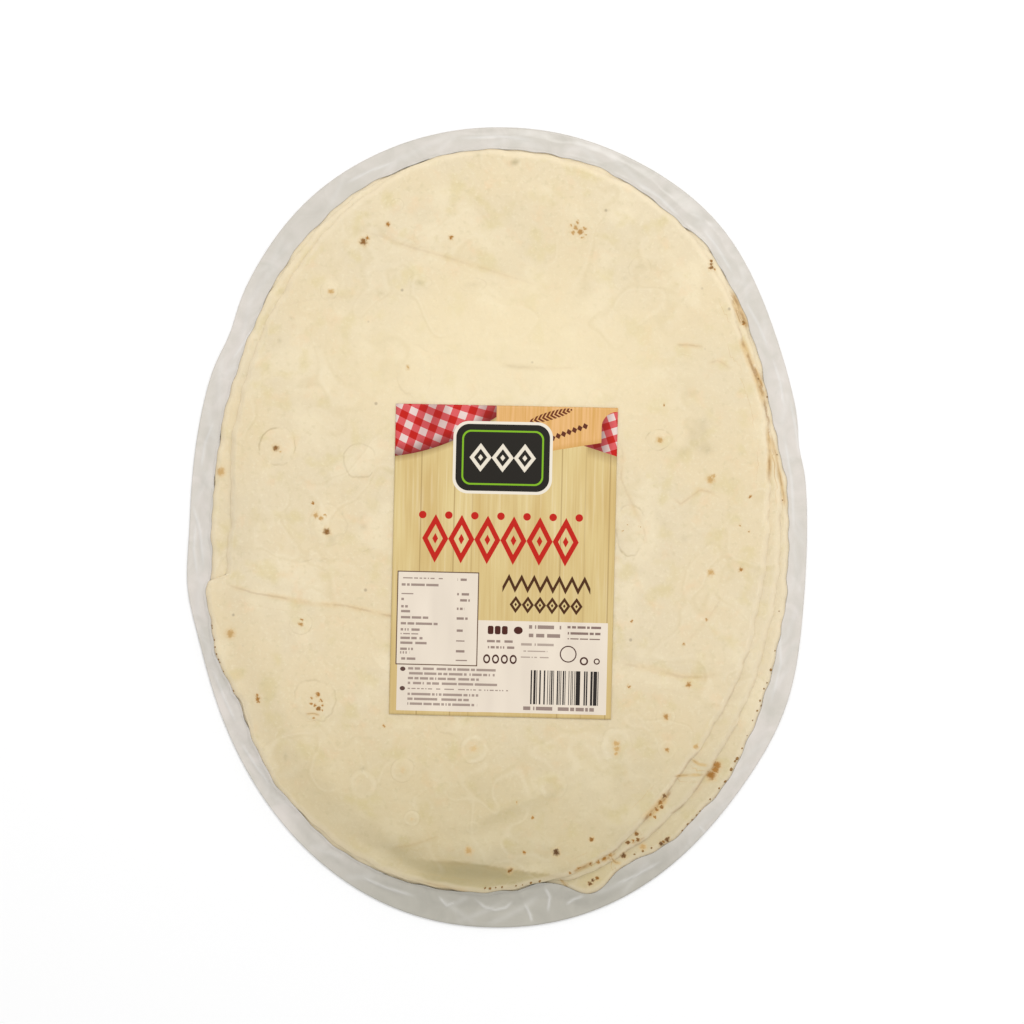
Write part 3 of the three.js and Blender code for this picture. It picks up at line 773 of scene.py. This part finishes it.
# Folds pressed into the margin's film: points of each line
FILM_FOLDS = [
    [(-109, 92), (-115, 84), (-121, 75)], [(-99, 104), (-104, 99), (-111, 90)],
    [(-128, 50), (-133, 38), (-135, 25)], [(-139, 12), (-135, -2), (-133, -22)],
    [(-137, 4), (-138, -10), (-136, -24)], [(-130, -62), (-124, -78), (-118, -90)],
    [(-118, -96), (-110, -108), (-101, -120)], [(-27, -167), (-23, -172), (-18, -170)],
    [(-11, -168), (-6, -172.5), (-1, -174), (4, -173), (8, -169)], [(21.5, -163), (24, -168), (23, -176)],
    [(31, -172), (35, -169), (40, -167)], [(12, -170), (15, -176), (16, -180)],
    [(91, -135), (94, -138), (96, -141)], [(130, 45), (134, 20), (135, -6)],
    [(133, 60), (136, 45), (138, 30)], [(125, 78), (129, 66), (131, 52)],
    [(112, 104), (119, 92), (124, 80)], [(92, 138), (101, 126), (108, 114)],
    [(62, 158), (74, 150), (84, 140)], [(-20, 177), (0, 178), (20, 176)],
    [(-70, 156), (-58, 162), (-44, 167)], [(128, -40), (129, -62), (124, -82)],
    [(-36, -168), (-50, -164), (-64, -158)], [(52, -163), (64, -158), (76, -151)],
]


def film_over(x, y):
    """Height of the upper film: close over each sheet and its thin rim, then down to the margin."""
    angle, radius = np.arctan2(y, x), np.hypot(x, y)
    rim, lower_edge = outline_radius(BAG, angle), sheet_edge(SHEETS - 2, angle)
    inwards = smooth((rim - radius) / (rim - lower_edge))
    wave = 0.5 + 0.5 * np.sin(PLEATS * angle + 1.7 * np.sin(5 * angle) + 0.9 * np.sin(11 * angle))
    ridges = 0.7 * film_folds(x, y) + 0.3 * uneven(x, y, 9, 61)
    margin = RIM_THICKNESS + MARGIN_RISE * inwards ** 2
    margin = margin + 4 * inwards * (1 - inwards) * (PLEAT_HEIGHT * wave + ridges)
    thickness = SHEET_THICKNESS * pressed(x, y)
    height = np.zeros(np.shape(x))
    for number in (SHEETS - 2, SHEETS - 1, SHEETS):
        inset = sheet_edge(number, angle) - radius
        over = FILM_OVER + (number - 1) * thickness + THIN_RIM
        over = over + (thickness - THIN_RIM) * thinned(inset)
        if number == SHEETS - 2:
            lower = smooth(1 + inset / TENT)
            height = (1 - lower) * margin + lower * over
        else:
            height = np.maximum(height, over + STEP_SLOPE * np.minimum(inset + STEP_START, 0))
    return height + stack_waves(x, y) + bubble_rise(x, y)


def random_folds():
    """Fainter folds that run slantwise across the margin."""
    draw = np.random.default_rng(12)
    lines = []
    for direction in np.arange(0, 360, 6.5):
        turn = np.radians(direction + draw.uniform(-3, 3)
                          + np.linspace(0, 1, 4) * draw.uniform(3, 11) * draw.choice([-1, 1]))
        share = np.linspace(draw.uniform(0.05, 0.35), draw.uniform(0.6, 1.0), 4)
        radius = outline_radius(LOWER_SHEETS, turn) * (1 - share) + outline_radius(BAG, turn) * share
        lines.append(list(zip(radius * np.cos(turn), radius * np.sin(turn))))
    return lines


FAINT_FOLDS = random_folds()


def film_folds(x, y):
    """1 on a fold in the margin's film, and less beside it."""
    ridge = np.zeros(np.shape(x))
    for strength, width, paths in ((0.85, 0.6, FILM_FOLDS), (0.3, 1.4, FAINT_FOLDS)):
        for path in paths:
            away, share = beside_path(x, y, path)
            ridge = np.maximum(ridge, strength * np.exp(-((away / width) ** 2)) * fading_ends(share))
    return ridge


def past_bread(x, y):
    """How far the film is past the edge of the bread, where it hangs loose and puckers."""
    return np.clip(np.hypot(x, y) - bread_edge(np.arctan2(y, x)), -9, 9)


def milky_film():
    """Cast polypropylene film, 40 microns: clear and glossy lying on the bread, but milky grey where it is
    loose and finely puckered, with a painted highlight along each fold and painted grey shade that is
    strongest at its lower end."""
    material, tree, place = new_material("polypropylene_film")
    past = add_node(tree, "ShaderNodeAttribute", give="Fac", attribute_name="past_bread")
    haze = add_node(tree, "ShaderNodeMapRange", (past, -0.35, 0.05, 0.018, 0.9))
    fold = add_node(tree, "ShaderNodeAttribute", give="Fac", attribute_name="fold")
    end = add_node(tree, "ShaderNodeAttribute", give="Fac", attribute_name="painted_film_shade")
    cloud = add_node(tree, "ShaderNodeTexNoise", {
        "Vector": place, "Scale": 1 / 14.0, "Detail": 4.0, "Distortion": 1.2})
    thick = add_node(tree, "ShaderNodeMapRange", (cloud, 0.3, 0.7, 0.94, 1.06))
    gloss = add_node(tree, "ShaderNodeLayerWeight", (0.2,), give="Fresnel")
    milk = add_node(tree, "ShaderNodeMath", (haze, thick), operation="MULTIPLY")
    alpha = add_node(tree, "ShaderNodeMath", (gloss, 0.5, milk), operation="MULTIPLY_ADD", use_clamp=True)
    colour = add_node(tree, "ShaderNodeMix", {0: cloud, 6: paint("#DAD6C9"), 7: paint("#E3DAD4")}, give=2,
                      data_type="RGBA")
    # Painted grey shade, strongest at the film's lower end
    colour = add_node(tree, "ShaderNodeMix", {0: end, 6: colour, 7: paint("#BCB8AC")}, give=2,
                      data_type="RGBA")
    # A painted highlight along each fold in the margin
    pale = add_node(tree, "ShaderNodeMath", (fold, 0.6), operation="MULTIPLY")
    colour = add_node(tree, "ShaderNodeMix", {0: pale, 6: colour, 7: paint("#EEECE8")}, give=2,
                      data_type="RGBA")
    crinkle = add_node(tree, "ShaderNodeTexNoise", {
        "Vector": place, "Scale": 1 / 5.0, "Detail": 3.0, "Distortion": 1.5})
    relief = add_node(tree, "ShaderNodeBump", {"Strength": 0.3, "Distance": 0.4 * MM, "Height": crinkle})
    film = add_node(tree, "ShaderNodeBsdfPrincipled", {
        "Base Color": colour, "Roughness": 0.3, "IOR": 1.49, "Alpha": alpha, "Normal": relief})
    add_node(tree, "ShaderNodeOutputMaterial", {"Surface": film})
    return material


def bag_film():
    def rim_at(angle):
        return outline_radius(BAG, angle)

    def over_steps(size):
        steps = []
        while sum(steps) < size - 3:
            steps.append(0.65 if sum(steps) < 24 else 2.4)
        return steps

    points, faces = [], []
    rim = oval_face(points, faces, rim_at, lambda x, y, inset: film_over(x, y), over_steps, True)
    under = oval_face(points, faces, rim_at,
                      lambda x, y, inset: 0.05 + 0.03 * uneven(x, y, 12, 64) + 0.3 * (inset < 0.1),
                      lambda size: [4.0] * int(size / 4 - 1), False)
    stitch(faces, under, rim, looks_up=True)
    piece = shaped_piece("bag_film", points, faces, milky_film())
    x, y = np.array(points)[:, 0], np.array(points)[:, 1]
    note(piece, "past_bread", past_bread(x, y))
    note(piece, "fold", film_folds(x, y))
    # Painted shade on the film: mostly towards its lower end, a little towards its upper end
    low_film_shade = smooth((0.12 * np.minimum(x, 0) - y - 120) / 50)
    note(piece, "painted_film_shade", low_film_shade + 0.25 * smooth((y - 90) / 60))
    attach(piece, "root")
    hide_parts("bag")


bag_film()

# --- The label ---------------------------------------------------------------------------------
# A rectangle of coated paper, offset printed and stuck on the front of the film, whose waves it
# follows. The print is a pine table top with a gingham cloth, and plain fields, bars and ornaments.

LABEL_CORNERS = np.array([(-48.8, -84.2), (51.5, -86.8), (54.7, 54.0), (-45.6, 56.0)])
LABEL_SIZE = (100.4, 140.6)
PAPER = 0.14
GLUE = 0.1                          # from the film to the paper's back
# Rows of small print, each with its bottom and its length
TABLE_WORDS = [
    (61.1, 19.8), (58.0, 17.0), (53.9, 5.4), (51.4, 3.6), (48.0, 3.2), (46.0, 4.1), (43.3, 12.4),
    (40.3, 17.4), (37.8, 9.2), (35.7, 8.4), (34.0, 10.0), (31.7, 11.9), (29.0, 5.8), (27.2, 4.4),
    (24.5, 7.0),
]
TABLE_FIGURES = [
    (60.6, 4.2), (54.3, 5.4), (51.6, 5.8), (47.7, 3.4), (43.2, 5.0), (37.6, 2.9), (33.0, 3.8), (28.5, 3.9),
    (24.2, 5.1),
]
LONG_ROWS = [
    (20.1, 39.6), (18.0, 39.2), (15.8, 33.0), (13.7, 40.4), (11.1, 45.4), (8.6, 32.0), (6.3, 28.8),
    (4.0, 31.6),
]


def printed_label():
    """Coated label paper: smooth, with a satin gloss. Places on it are millimetres from its lower
    left corner."""
    material, tree, _ = new_material("satin_label_paper")
    place = add_node(tree, "ShaderNodeUVMap", uv_map="label")
    place = add_node(tree, "ShaderNodeVectorMath", (place, (*LABEL_SIZE, 0.0)), operation="MULTIPLY")
    at = add_node(tree, "ShaderNodeSeparateXYZ", (place,)).node.outputs

    def printed(below, code, *where):
        """Prints an ink over what is below, where every mask is 1. A mask is what a node gave, a
        number for a weaker print, or a value with the two bounds that it must lie between."""
        amount = 1.0
        for mask in where:
            if isinstance(mask, tuple):
                value, low, high = mask
                mask = add_node(tree, "ShaderNodeMath", (value, (low + high) / 2, (high - low) / 2),
                                operation="COMPARE")
            amount = add_node(tree, "ShaderNodeMath", (amount, mask), operation="MULTIPLY")
        ink = code if isinstance(code, bpy.types.NodeSocket) else paint(code)
        return add_node(tree, "ShaderNodeMix", {0: amount, 6: below, 7: ink}, give=2, data_type="RGBA")

    def shaded(below, code, value, start, end, strength, *where):
        """Prints an ink that grows from nothing where the value is start to its strength at end."""
        return printed(below, code,
                       add_node(tree, "ShaderNodeMapRange", (value, start, end, 0.0, strength)), *where)

    def field(left, low, right, high, corner=0.25):
        """1 inside a rectangle with rounded corners."""
        middle = ((left + right) / 2, (low + high) / 2, 0.0)
        half = ((right - left) / 2 - corner, (high - low) / 2 - corner, 0.0)
        off = add_node(tree, "ShaderNodeVectorMath", (place, middle), operation="SUBTRACT")
        off = add_node(tree, "ShaderNodeVectorMath", (off,), operation="ABSOLUTE")
        off = add_node(tree, "ShaderNodeVectorMath", (off, half), operation="SUBTRACT")
        off = add_node(tree, "ShaderNodeVectorMath", (off, (0.0, 0.0, 0.0)), operation="MAXIMUM")
        off = add_node(tree, "ShaderNodeVectorMath", (off,), give="Value", operation="LENGTH")
        return add_node(tree, "ShaderNodeMath", (off, corner), operation="LESS_THAN")

    def oval(x, y, half_width, half_height):
        """Share of the way from an oval's middle to its edge."""
        off = add_node(tree, "ShaderNodeVectorMath", (place, (x, y, 0.0)), operation="SUBTRACT")
        off = add_node(tree, "ShaderNodeVectorMath", (off, (1 / half_width, 1 / half_height, 0.0)),
                       operation="MULTIPLY")
        return add_node(tree, "ShaderNodeVectorMath", (off,), give="Value", operation="LENGTH")

    def above(start, slope, bend=0.0):
        """Height above a line or curve that starts at the left edge."""
        curve = add_node(tree, "ShaderNodeMath", (at["X"], bend, slope), operation="MULTIPLY_ADD")
        curve = add_node(tree, "ShaderNodeMath", (at["X"], curve, start), operation="MULTIPLY_ADD")
        return add_node(tree, "ShaderNodeMath", (at["Y"], curve), operation="SUBTRACT")

    def small_print(lines, left, height):
        """1 in rows of small print: dashes as long as short words."""
        longest = max(length for _, length in lines)
        level = add_node(tree, "ShaderNodeMath", (at["Y"], LABEL_SIZE[1]), operation="DIVIDE")
        ramp = add_node(tree, "ShaderNodeValToRGB", (level,))
        stops = ramp.node.color_ramp.elements
        ramp.node.color_ramp.interpolation = "CONSTANT"
        stops[0].color = stops[1].color = (0, 0, 0, 1)
        for bottom, length in lines:
            stops.new(bottom / LABEL_SIZE[1]).color = (length / longest,) * 3 + (1,)
            stops.new((bottom + height) / LABEL_SIZE[1]).color = (0, 0, 0, 1)
        along = add_node(tree, "ShaderNodeMath", (at["X"], left), operation="SUBTRACT")
        length = add_node(tree, "ShaderNodeMath", (ramp, longest), operation="MULTIPLY")
        started = add_node(tree, "ShaderNodeMath", (along, 0.0), operation="GREATER_THAN")
        going = add_node(tree, "ShaderNodeMath", (along, length), operation="LESS_THAN")
        letter = add_node(tree, "ShaderNodeCombineXYZ", (at["X"], ramp))
        letter = add_node(tree, "ShaderNodeVectorMath", (letter, (1 / 0.62, 97.0, 0.0)), operation="MULTIPLY")
        letter = add_node(tree, "ShaderNodeVectorMath", (letter,), operation="FLOOR")
        word = add_node(tree, "ShaderNodeTexWhiteNoise", (letter,), noise_dimensions="3D")
        word = add_node(tree, "ShaderNodeMath", (word, 0.22), operation="GREATER_THAN")
        words = add_node(tree, "ShaderNodeMath", (started, going), operation="MULTIPLY")
        return add_node(tree, "ShaderNodeMath", (words, word), operation="MULTIPLY")

    def stripes(run, start, bend=0.0):
        """Where a value is under a half, a stripe: run says how many stripes to a millimetre."""
        across = add_node(tree, "ShaderNodeVectorMath", (place, (*run, 0.0)), give="Value",
                          operation="DOT_PRODUCT")
        curve = add_node(tree, "ShaderNodeMath", (at["X"], at["X"]), operation="MULTIPLY")
        across = add_node(tree, "ShaderNodeMath", (curve, bend, across), operation="MULTIPLY_ADD")
        across = add_node(tree, "ShaderNodeMath", (across, start), operation="ADD")
        return add_node(tree, "ShaderNodeMath", (across,), operation="FRACT")

    def gingham(warp, weft):
        """Two sets of red stripes on white, darker where they cross, in half-tone pink elsewhere."""
        cloth = printed(paint("#E6D0C9"), "#D95A5C", (warp, -0.01, 0.5))
        cloth = printed(cloth, "#D95A5C", (weft, -0.01, 0.5))
        return printed(cloth, "#C3170A", (warp, -0.01, 0.5), (weft, -0.01, 0.5))

    def slanted(x, y, rise):
        """Place along and across a line that starts at a point and rises at an angle."""
        moved = add_node(tree, "ShaderNodeMapping", {
            "Vector": place, "Location": (x, y, 0.0), "Rotation": (0.0, 0.0, math.radians(rise))},
            vector_type="TEXTURE")
        return add_node(tree, "ShaderNodeSeparateXYZ", (moved,)).node.outputs

    def ear(x, y, rise, length, half_width, grain):
        """An ear of wheat: slanted grains in two rows, within a long oval. 1 where it is printed."""
        line = slanted(x, y, rise)
        off = add_node(tree, "ShaderNodeMath", (line["Y"],), operation="ABSOLUTE")
        grains = add_node(tree, "ShaderNodeMath", (line["X"], off), operation="SUBTRACT")
        grains = add_node(tree, "ShaderNodeMath", (grains, grain), operation="DIVIDE")
        grains = add_node(tree, "ShaderNodeMath", (grains,), operation="FRACT")
        grains = add_node(tree, "ShaderNodeMath", (grains, 0.62), operation="LESS_THAN")
        reach = add_node(tree, "ShaderNodeCombineXYZ", (line["X"], line["Y"]))
        reach = add_node(tree, "ShaderNodeVectorMath", (reach, (length / 2, 0.0, 0.0)), operation="SUBTRACT")
        reach = add_node(tree, "ShaderNodeVectorMath", (reach, (2 / length, 1 / half_width, 0.0)),
                         operation="MULTIPLY")
        reach = add_node(tree, "ShaderNodeVectorMath", (reach,), give="Value", operation="LENGTH")
        reach = add_node(tree, "ShaderNodeMath", (reach, 1.0), operation="LESS_THAN")
        return add_node(tree, "ShaderNodeMath", (grains, reach), operation="MULTIPLY")

    def lozenges(below, code, x, y, rise, count, pitch, half_height, line_width=1.0):
        """Prints a chain of lozenges, filled or with a thick outline and a dot."""
        line = slanted(x, y, rise)
        step = add_node(tree, "ShaderNodeMath", (line["X"], pitch / 2), operation="PINGPONG")
        step = add_node(tree, "ShaderNodeMath", (step, pitch / 2), operation="DIVIDE")
        off = add_node(tree, "ShaderNodeMath", (line["Y"],), operation="ABSOLUTE")
        off = add_node(tree, "ShaderNodeMath", (off, half_height), operation="DIVIDE")
        reach = add_node(tree, "ShaderNodeMath", (step, off), operation="SUBTRACT")
        along = (line["X"], 0.0, count * pitch)
        below = printed(below, code, (reach, 0.0, line_width), along)
        return printed(below, code, (reach, 0.78, 1.01), along)

    # Pale pine boards, with fine upright grain and darker joints
    grain = add_node(tree, "ShaderNodeVectorMath", (place, (1 / 1.1, 1 / 38.0, 1.0)), operation="MULTIPLY")
    grain = add_node(tree, "ShaderNodeTexNoise", {"Vector": grain, "Scale": 1.0, "Detail": 4.0})
    broad = add_node(tree, "ShaderNodeVectorMath", (place, (1 / 14.0, 1 / 60.0, 1.0)), operation="MULTIPLY")
    broad = add_node(tree, "ShaderNodeTexNoise", {"Vector": broad, "Scale": 1.0, "Detail": 2.0})
    colour = shaded(paint("#D1B578"), "#DDC78E", broad, 0.35, 0.62, 1.0)
    colour = shaded(colour, "#BE9E64", grain, 0.5, 0.75, 0.45)
    colour = shaded(colour, "#EBDAB4", grain, 0.45, 0.28, 0.4)
    colour = shaded(colour, "#C2A56A", at["Y"], 84, 20, 0.4)
    for joint, strength in ((12.3, 0.5), (27.4, 0.5), (35.6, 0.25), (75.8, 0.5), (86.6, 0.25), (97.6, 0.5)):
        colour = printed(colour, "#9A7A46", strength, (at["X"], joint - 0.3, joint + 0.3))

    # Two corners of a gingham cloth hang in from the top edge, with their shadows
    hem = above(116.9, 0.12, 0.0063)
    left_part = (at["X"], -1.0, 45.6)
    colour = shaded(colour, "#8A6A3C", hem, -3.0, 0.0, 0.6, left_part)
    cloth = gingham(stripes((0.1321, -0.0453), 6.904), stripes((-0.0730, -0.1400), 30.528, 0.0005))
    cloth = shaded(cloth, "#7A0E06", broad, 0.42, 0.62, 0.4)
    cloth = shaded(cloth, "#5E0A02", hem, 6.0, 0.0, 0.8)
    cloth = shaded(cloth, "#7A1206", at["X"], 33, 46, 0.6)
    colour = printed(colour, cloth, (hem, 0.0, 99.0), left_part)
    hem = above(148.8, -0.3)
    colour = shaded(colour, "#8A6A3C", hem, -5.0, 0.0, 0.5, (at["X"], 87.0, 101.0), (hem, -6.0, 0.1))
    cloth = gingham(stripes((0.14, 0.05), 7.3), stripes((-0.05, 0.15), 30.2))
    cloth = shaded(cloth, "#5A0A04", at["X"], 99, 92.5, 0.7)
    colour = printed(colour, cloth, (hem, 0.0, 99.0), (at["X"], 84.0, 101.0))

    # A cutting board of warmer wood, with an ear of wheat and a slanted rule of lozenges
    edge = above(107.88, 0.18)
    beyond_cloth = add_node(tree, "ShaderNodeMath", (1.0, field(93.2, 100.0, 115.0, 138.8, 7.0)),
                            operation="SUBTRACT")
    wood = shaded(paint("#D6A45C"), "#E6B57A", grain, 0.35, 0.65, 1.0)
    wood = shaded(wood, "#C9974C", edge, 2.5, 0.0, 0.6)
    colour = printed(colour, wood, (edge, 0.0, 99.0), (at["X"], 45.6, 101.0), beyond_cloth)
    colour = printed(colour, "#6B2F10", ear(60.6, 133.6, 17, 20, 1.9, 1.9))
    colour = lozenges(colour, "#5E2A12", 70.0, 126.0, 21, 7, 2.6, 1.5)

    # A charcoal plaque with a cream edge, a lime rule and a few plain lozenges
    for code, inset, corner in (("#E9E0D0", 0.0, 7.0), ("#1E1A13", 1.3, 6.0), ("#7FB41C", 4.0, 4.0),
                                ("#1E1A13", 4.8, 3.4)):
        colour = printed(colour, code,
                         field(26.3 + inset, 100.6 + inset, 71.3 - inset, 133.4 - inset, corner))
    colour = lozenges(colour, "#E6DDCB", 33.8, 117.0, 0, 3, 10.0, 6.5, 0.4)

    # A red band of hollow lozenges with dots over them, and two brown rules under it
    colour = lozenges(colour, "#BE1A0A", 13.2, 80.0, -0.4, 6, 11.8, 11.0, 0.42)
    for dot in range(7):
        colour = printed(colour, "#BE1A0A", (oval(13.2 + 11.8 * dot, 90.6, 1.7, 1.7), -1.0, 1.0))
    line = slanted(50.0, 57.6, -0.6)
    zigzag = add_node(tree, "ShaderNodeMath", (line["X"], 2.85), operation="PINGPONG")
    zigzag = add_node(tree, "ShaderNodeMath", (zigzag, 2.0), operation="MULTIPLY")
    zigzag = add_node(tree, "ShaderNodeMath", (line["Y"], zigzag, 1.4), operation="COMPARE")
    colour = printed(colour, "#4A2708", zigzag, (line["X"], 0.0, 39.8))
    colour = lozenges(colour, "#4A2708", 53.4, 50.9, -0.6, 6, 5.5, 3.9, 0.5)

    # White fields: an outlined table of small print, longer rows below it, and a few marks
    white = shaded(paint("#E0D3C2"), "#EADDCB", broad, 0.35, 0.65, 1.0)
    for sides in ((39.0, 1.9, 98.1, 43.4), (3.2, 1.8, 40.0, 23.4)):
        colour = printed(colour, white, field(*sides))
    colour = printed(colour, "#6E5644", field(2.4, 22.5, 39.4, 65.0))
    colour = printed(colour, white, field(2.9, 23.0, 38.9, 64.5))
    for lines, left, height, strength in (
            (TABLE_WORDS, 4.4, 0.95, 0.7), (TABLE_FIGURES, 29.6, 1.0, 0.75), (LONG_ROWS, 8.2, 0.95, 0.65),
            ([(40.0, 14.6), (36.2, 14.2)], 62.4, 1.3, 0.75),
            ([(40.3, 15.2), (37.7, 15.0), (35.2, 14.8)], 79.8, 0.95, 0.85),
            ([(32.2, 15.6), (29.2, 12.0), (26.4, 12.6)], 59.0, 1.0, 0.55),
            ([(33.2, 11.6), (30.4, 12.4)], 43.6, 1.2, 0.75), ([(3.2, 32.0)], 60.6, 1.7, 0.75)):
        colour = printed(colour, "#6A4A46", strength, small_print(lines, left, height))
    for height in (20.6, 11.8):
        colour = printed(colour, "#5A4038", (oval(5.8, height, 1.2, 1.0), -1.0, 1.0))
    for left in (43.8, 47.0, 50.2):
        colour = printed(colour, "#4A2016", field(left, 37.2, left + 2.6, 41.0, 0.8))
    colour = printed(colour, "#4A2016", (oval(57.6, 39.2, 2.0, 1.7), -1.0, 1.0))
    for x, y, half_width, half_height, hole in (
            (43.6, 26.0, 1.6, 2.1, 0.58), (47.6, 26.0, 1.6, 2.1, 0.58), (51.6, 26.0, 1.6, 2.1, 0.58),
            (55.6, 26.0, 1.6, 2.1, 0.58), (80.4, 29.0, 3.8, 3.8, 0.86), (87.6, 26.0, 1.9, 1.9, 0.6),
            (93.4, 26.0, 1.4, 1.4, 0.6)):
        colour = printed(colour, "#4A2A22", (oval(x, y, half_width, half_height), hole, 1.0))

    # A made-up bar code: each module of 0.33 mm is black or white by a random draw
    module = add_node(tree, "ShaderNodeMath", (at["X"], 0.33), operation="DIVIDE")
    module = add_node(tree, "ShaderNodeMath", (module,), operation="FLOOR")
    bars = add_node(tree, "ShaderNodeTexWhiteNoise", {"W": module}, noise_dimensions="1D")
    colour = printed(colour, "#28221F", (bars, 0.0, 0.52), field(63.5, 6.0, 94.6, 21.4, 0.05))

    sheen = add_node(tree, "ShaderNodeTexNoise", {"Vector": place, "Scale": 1 / 2.5, "Detail": 2.0})
    sheen = add_node(tree, "ShaderNodeBump", {"Strength": 0.15, "Distance": 0.1 * MM, "Height": sheen})
    paper = add_node(tree, "ShaderNodeBsdfPrincipled", {
        "Base Color": colour, "Roughness": 0.45, "Specular IOR Level": 0.2, "Normal": sheen})
    add_node(tree, "ShaderNodeOutputMaterial", {"Surface": paper})
    return material


def label_paper():
    columns, rows = 100, 140
    across, up = np.meshgrid(np.linspace(0, 1, columns + 1), np.linspace(0, 1, rows + 1))
    lower = LABEL_CORNERS[0] + across[..., None] * (LABEL_CORNERS[1] - LABEL_CORNERS[0])
    upper = LABEL_CORNERS[3] + across[..., None] * (LABEL_CORNERS[2] - LABEL_CORNERS[3])
    flat = (lower + up[..., None] * (upper - lower)).reshape(-1, 2)
    back = film_over(flat[:, 0], flat[:, 1]) + GLUE
    front = [(x, y, z) for (x, y), z in zip(flat, back + PAPER)]
    points = front + [(x, y, z) for (x, y), z in zip(flat, back)]
    width, layer = columns + 1, (columns + 1) * (rows + 1)
    faces = []
    for row in range(rows):
        for column in range(columns):
            a = row * width + column
            faces.append((a, a + 1, a + width + 1, a + width))
            faces.append((a + layer, a + layer + width, a + layer + width + 1, a + layer + 1))
    border = list(range(columns)) + [r * width + columns for r in range(rows)]
    border += [rows * width + c for c in range(columns, 0, -1)] + [r * width for r in range(rows, 0, -1)]
    for a, b in zip(border, border[1:] + border[:1]):
        faces.append((a, a + layer, b + layer, b))
    piece = shaped_piece("label_paper", points, faces, printed_label())
    where = piece.data.uv_layers.new(name="label")
    corners = np.zeros(len(piece.data.loops), int)
    piece.data.loops.foreach_get("vertex_index", corners)
    uv = np.stack([across.ravel(), up.ravel()], 1)
    where.data.foreach_set("uv", uv[corners % layer].ravel())
    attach(piece, "root")
    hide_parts("label")


label_paper()

# --- The table, light and camera ---------------------------------------------------------------
# A plain white table, a large soft lamp beyond the top of the pack, and the camera straight above.
# Sizes here are in metres.

TABLE_REACH = 2                     # from its middle to each side
LAMP_PLACE = (0.3, 0.8, 1.25)
LAMP_WIDTH = 0.6
LAMP_WATTS = 7.0
ROOM_LIGHT = 0.83
PACK_TOP = 0.010                    # the height that the picture's width is measured at


def white_table():
    reach = TABLE_REACH
    mesh = bpy.data.meshes.new("table")
    corners = [(-reach, -reach, 0), (reach, -reach, 0), (reach, reach, 0), (-reach, reach, 0)]
    mesh.from_pydata(corners, [], [(0, 1, 2, 3)])
    table = bpy.data.objects.new("table", mesh)
    bpy.context.scene.collection.objects.link(table)
    material, tree, _ = new_material("matt_white_laminate")
    top = add_node(tree, "ShaderNodeBsdfPrincipled", {"Base Color": (0.98, 0.98, 0.98, 1), "Roughness": 0.7})
    add_node(tree, "ShaderNodeOutputMaterial", {"Surface": top})
    mesh.materials.append(material)


def soft_lamp(name, place, size, watts):
    lamp = bpy.data.lights.new(name, "AREA")
    lamp.shape = "SQUARE"
    lamp.size = size
    lamp.energy = watts
    stand = bpy.data.objects.new(name, lamp)
    stand.location = place
    stand.rotation_euler = (-stand.location).to_track_quat("-Z", "Y").to_euler()
    bpy.context.scene.collection.objects.link(stand)


white_table()
soft_lamp("window_lamp", LAMP_PLACE, LAMP_WIDTH, LAMP_WATTS)
world = bpy.data.worlds.new("studio")
world.use_nodes = True
world.node_tree.nodes["Background"].inputs["Color"].default_value = (1, 1, 1, 1)
world.node_tree.nodes["Background"].inputs["Strength"].default_value = ROOM_LIGHT
bpy.context.scene.world = world

PICTURE_CENTRE = (6.8 * MM, 7.0 * MM)
PICTURE_WIDTH = 0.463
LENS, SENSOR = 100.0, 36.0
camera = bpy.data.cameras.new("camera")
camera.lens, camera.sensor_width = LENS, SENSOR
viewer = bpy.data.objects.new("camera", camera)
viewer.location = (*PICTURE_CENTRE, PICTURE_WIDTH * LENS / SENSOR + PACK_TOP)
bpy.context.scene.collection.objects.link(viewer)
bpy.context.scene.camera = viewer
bpy.context.scene.view_settings.view_transform = "Standard"
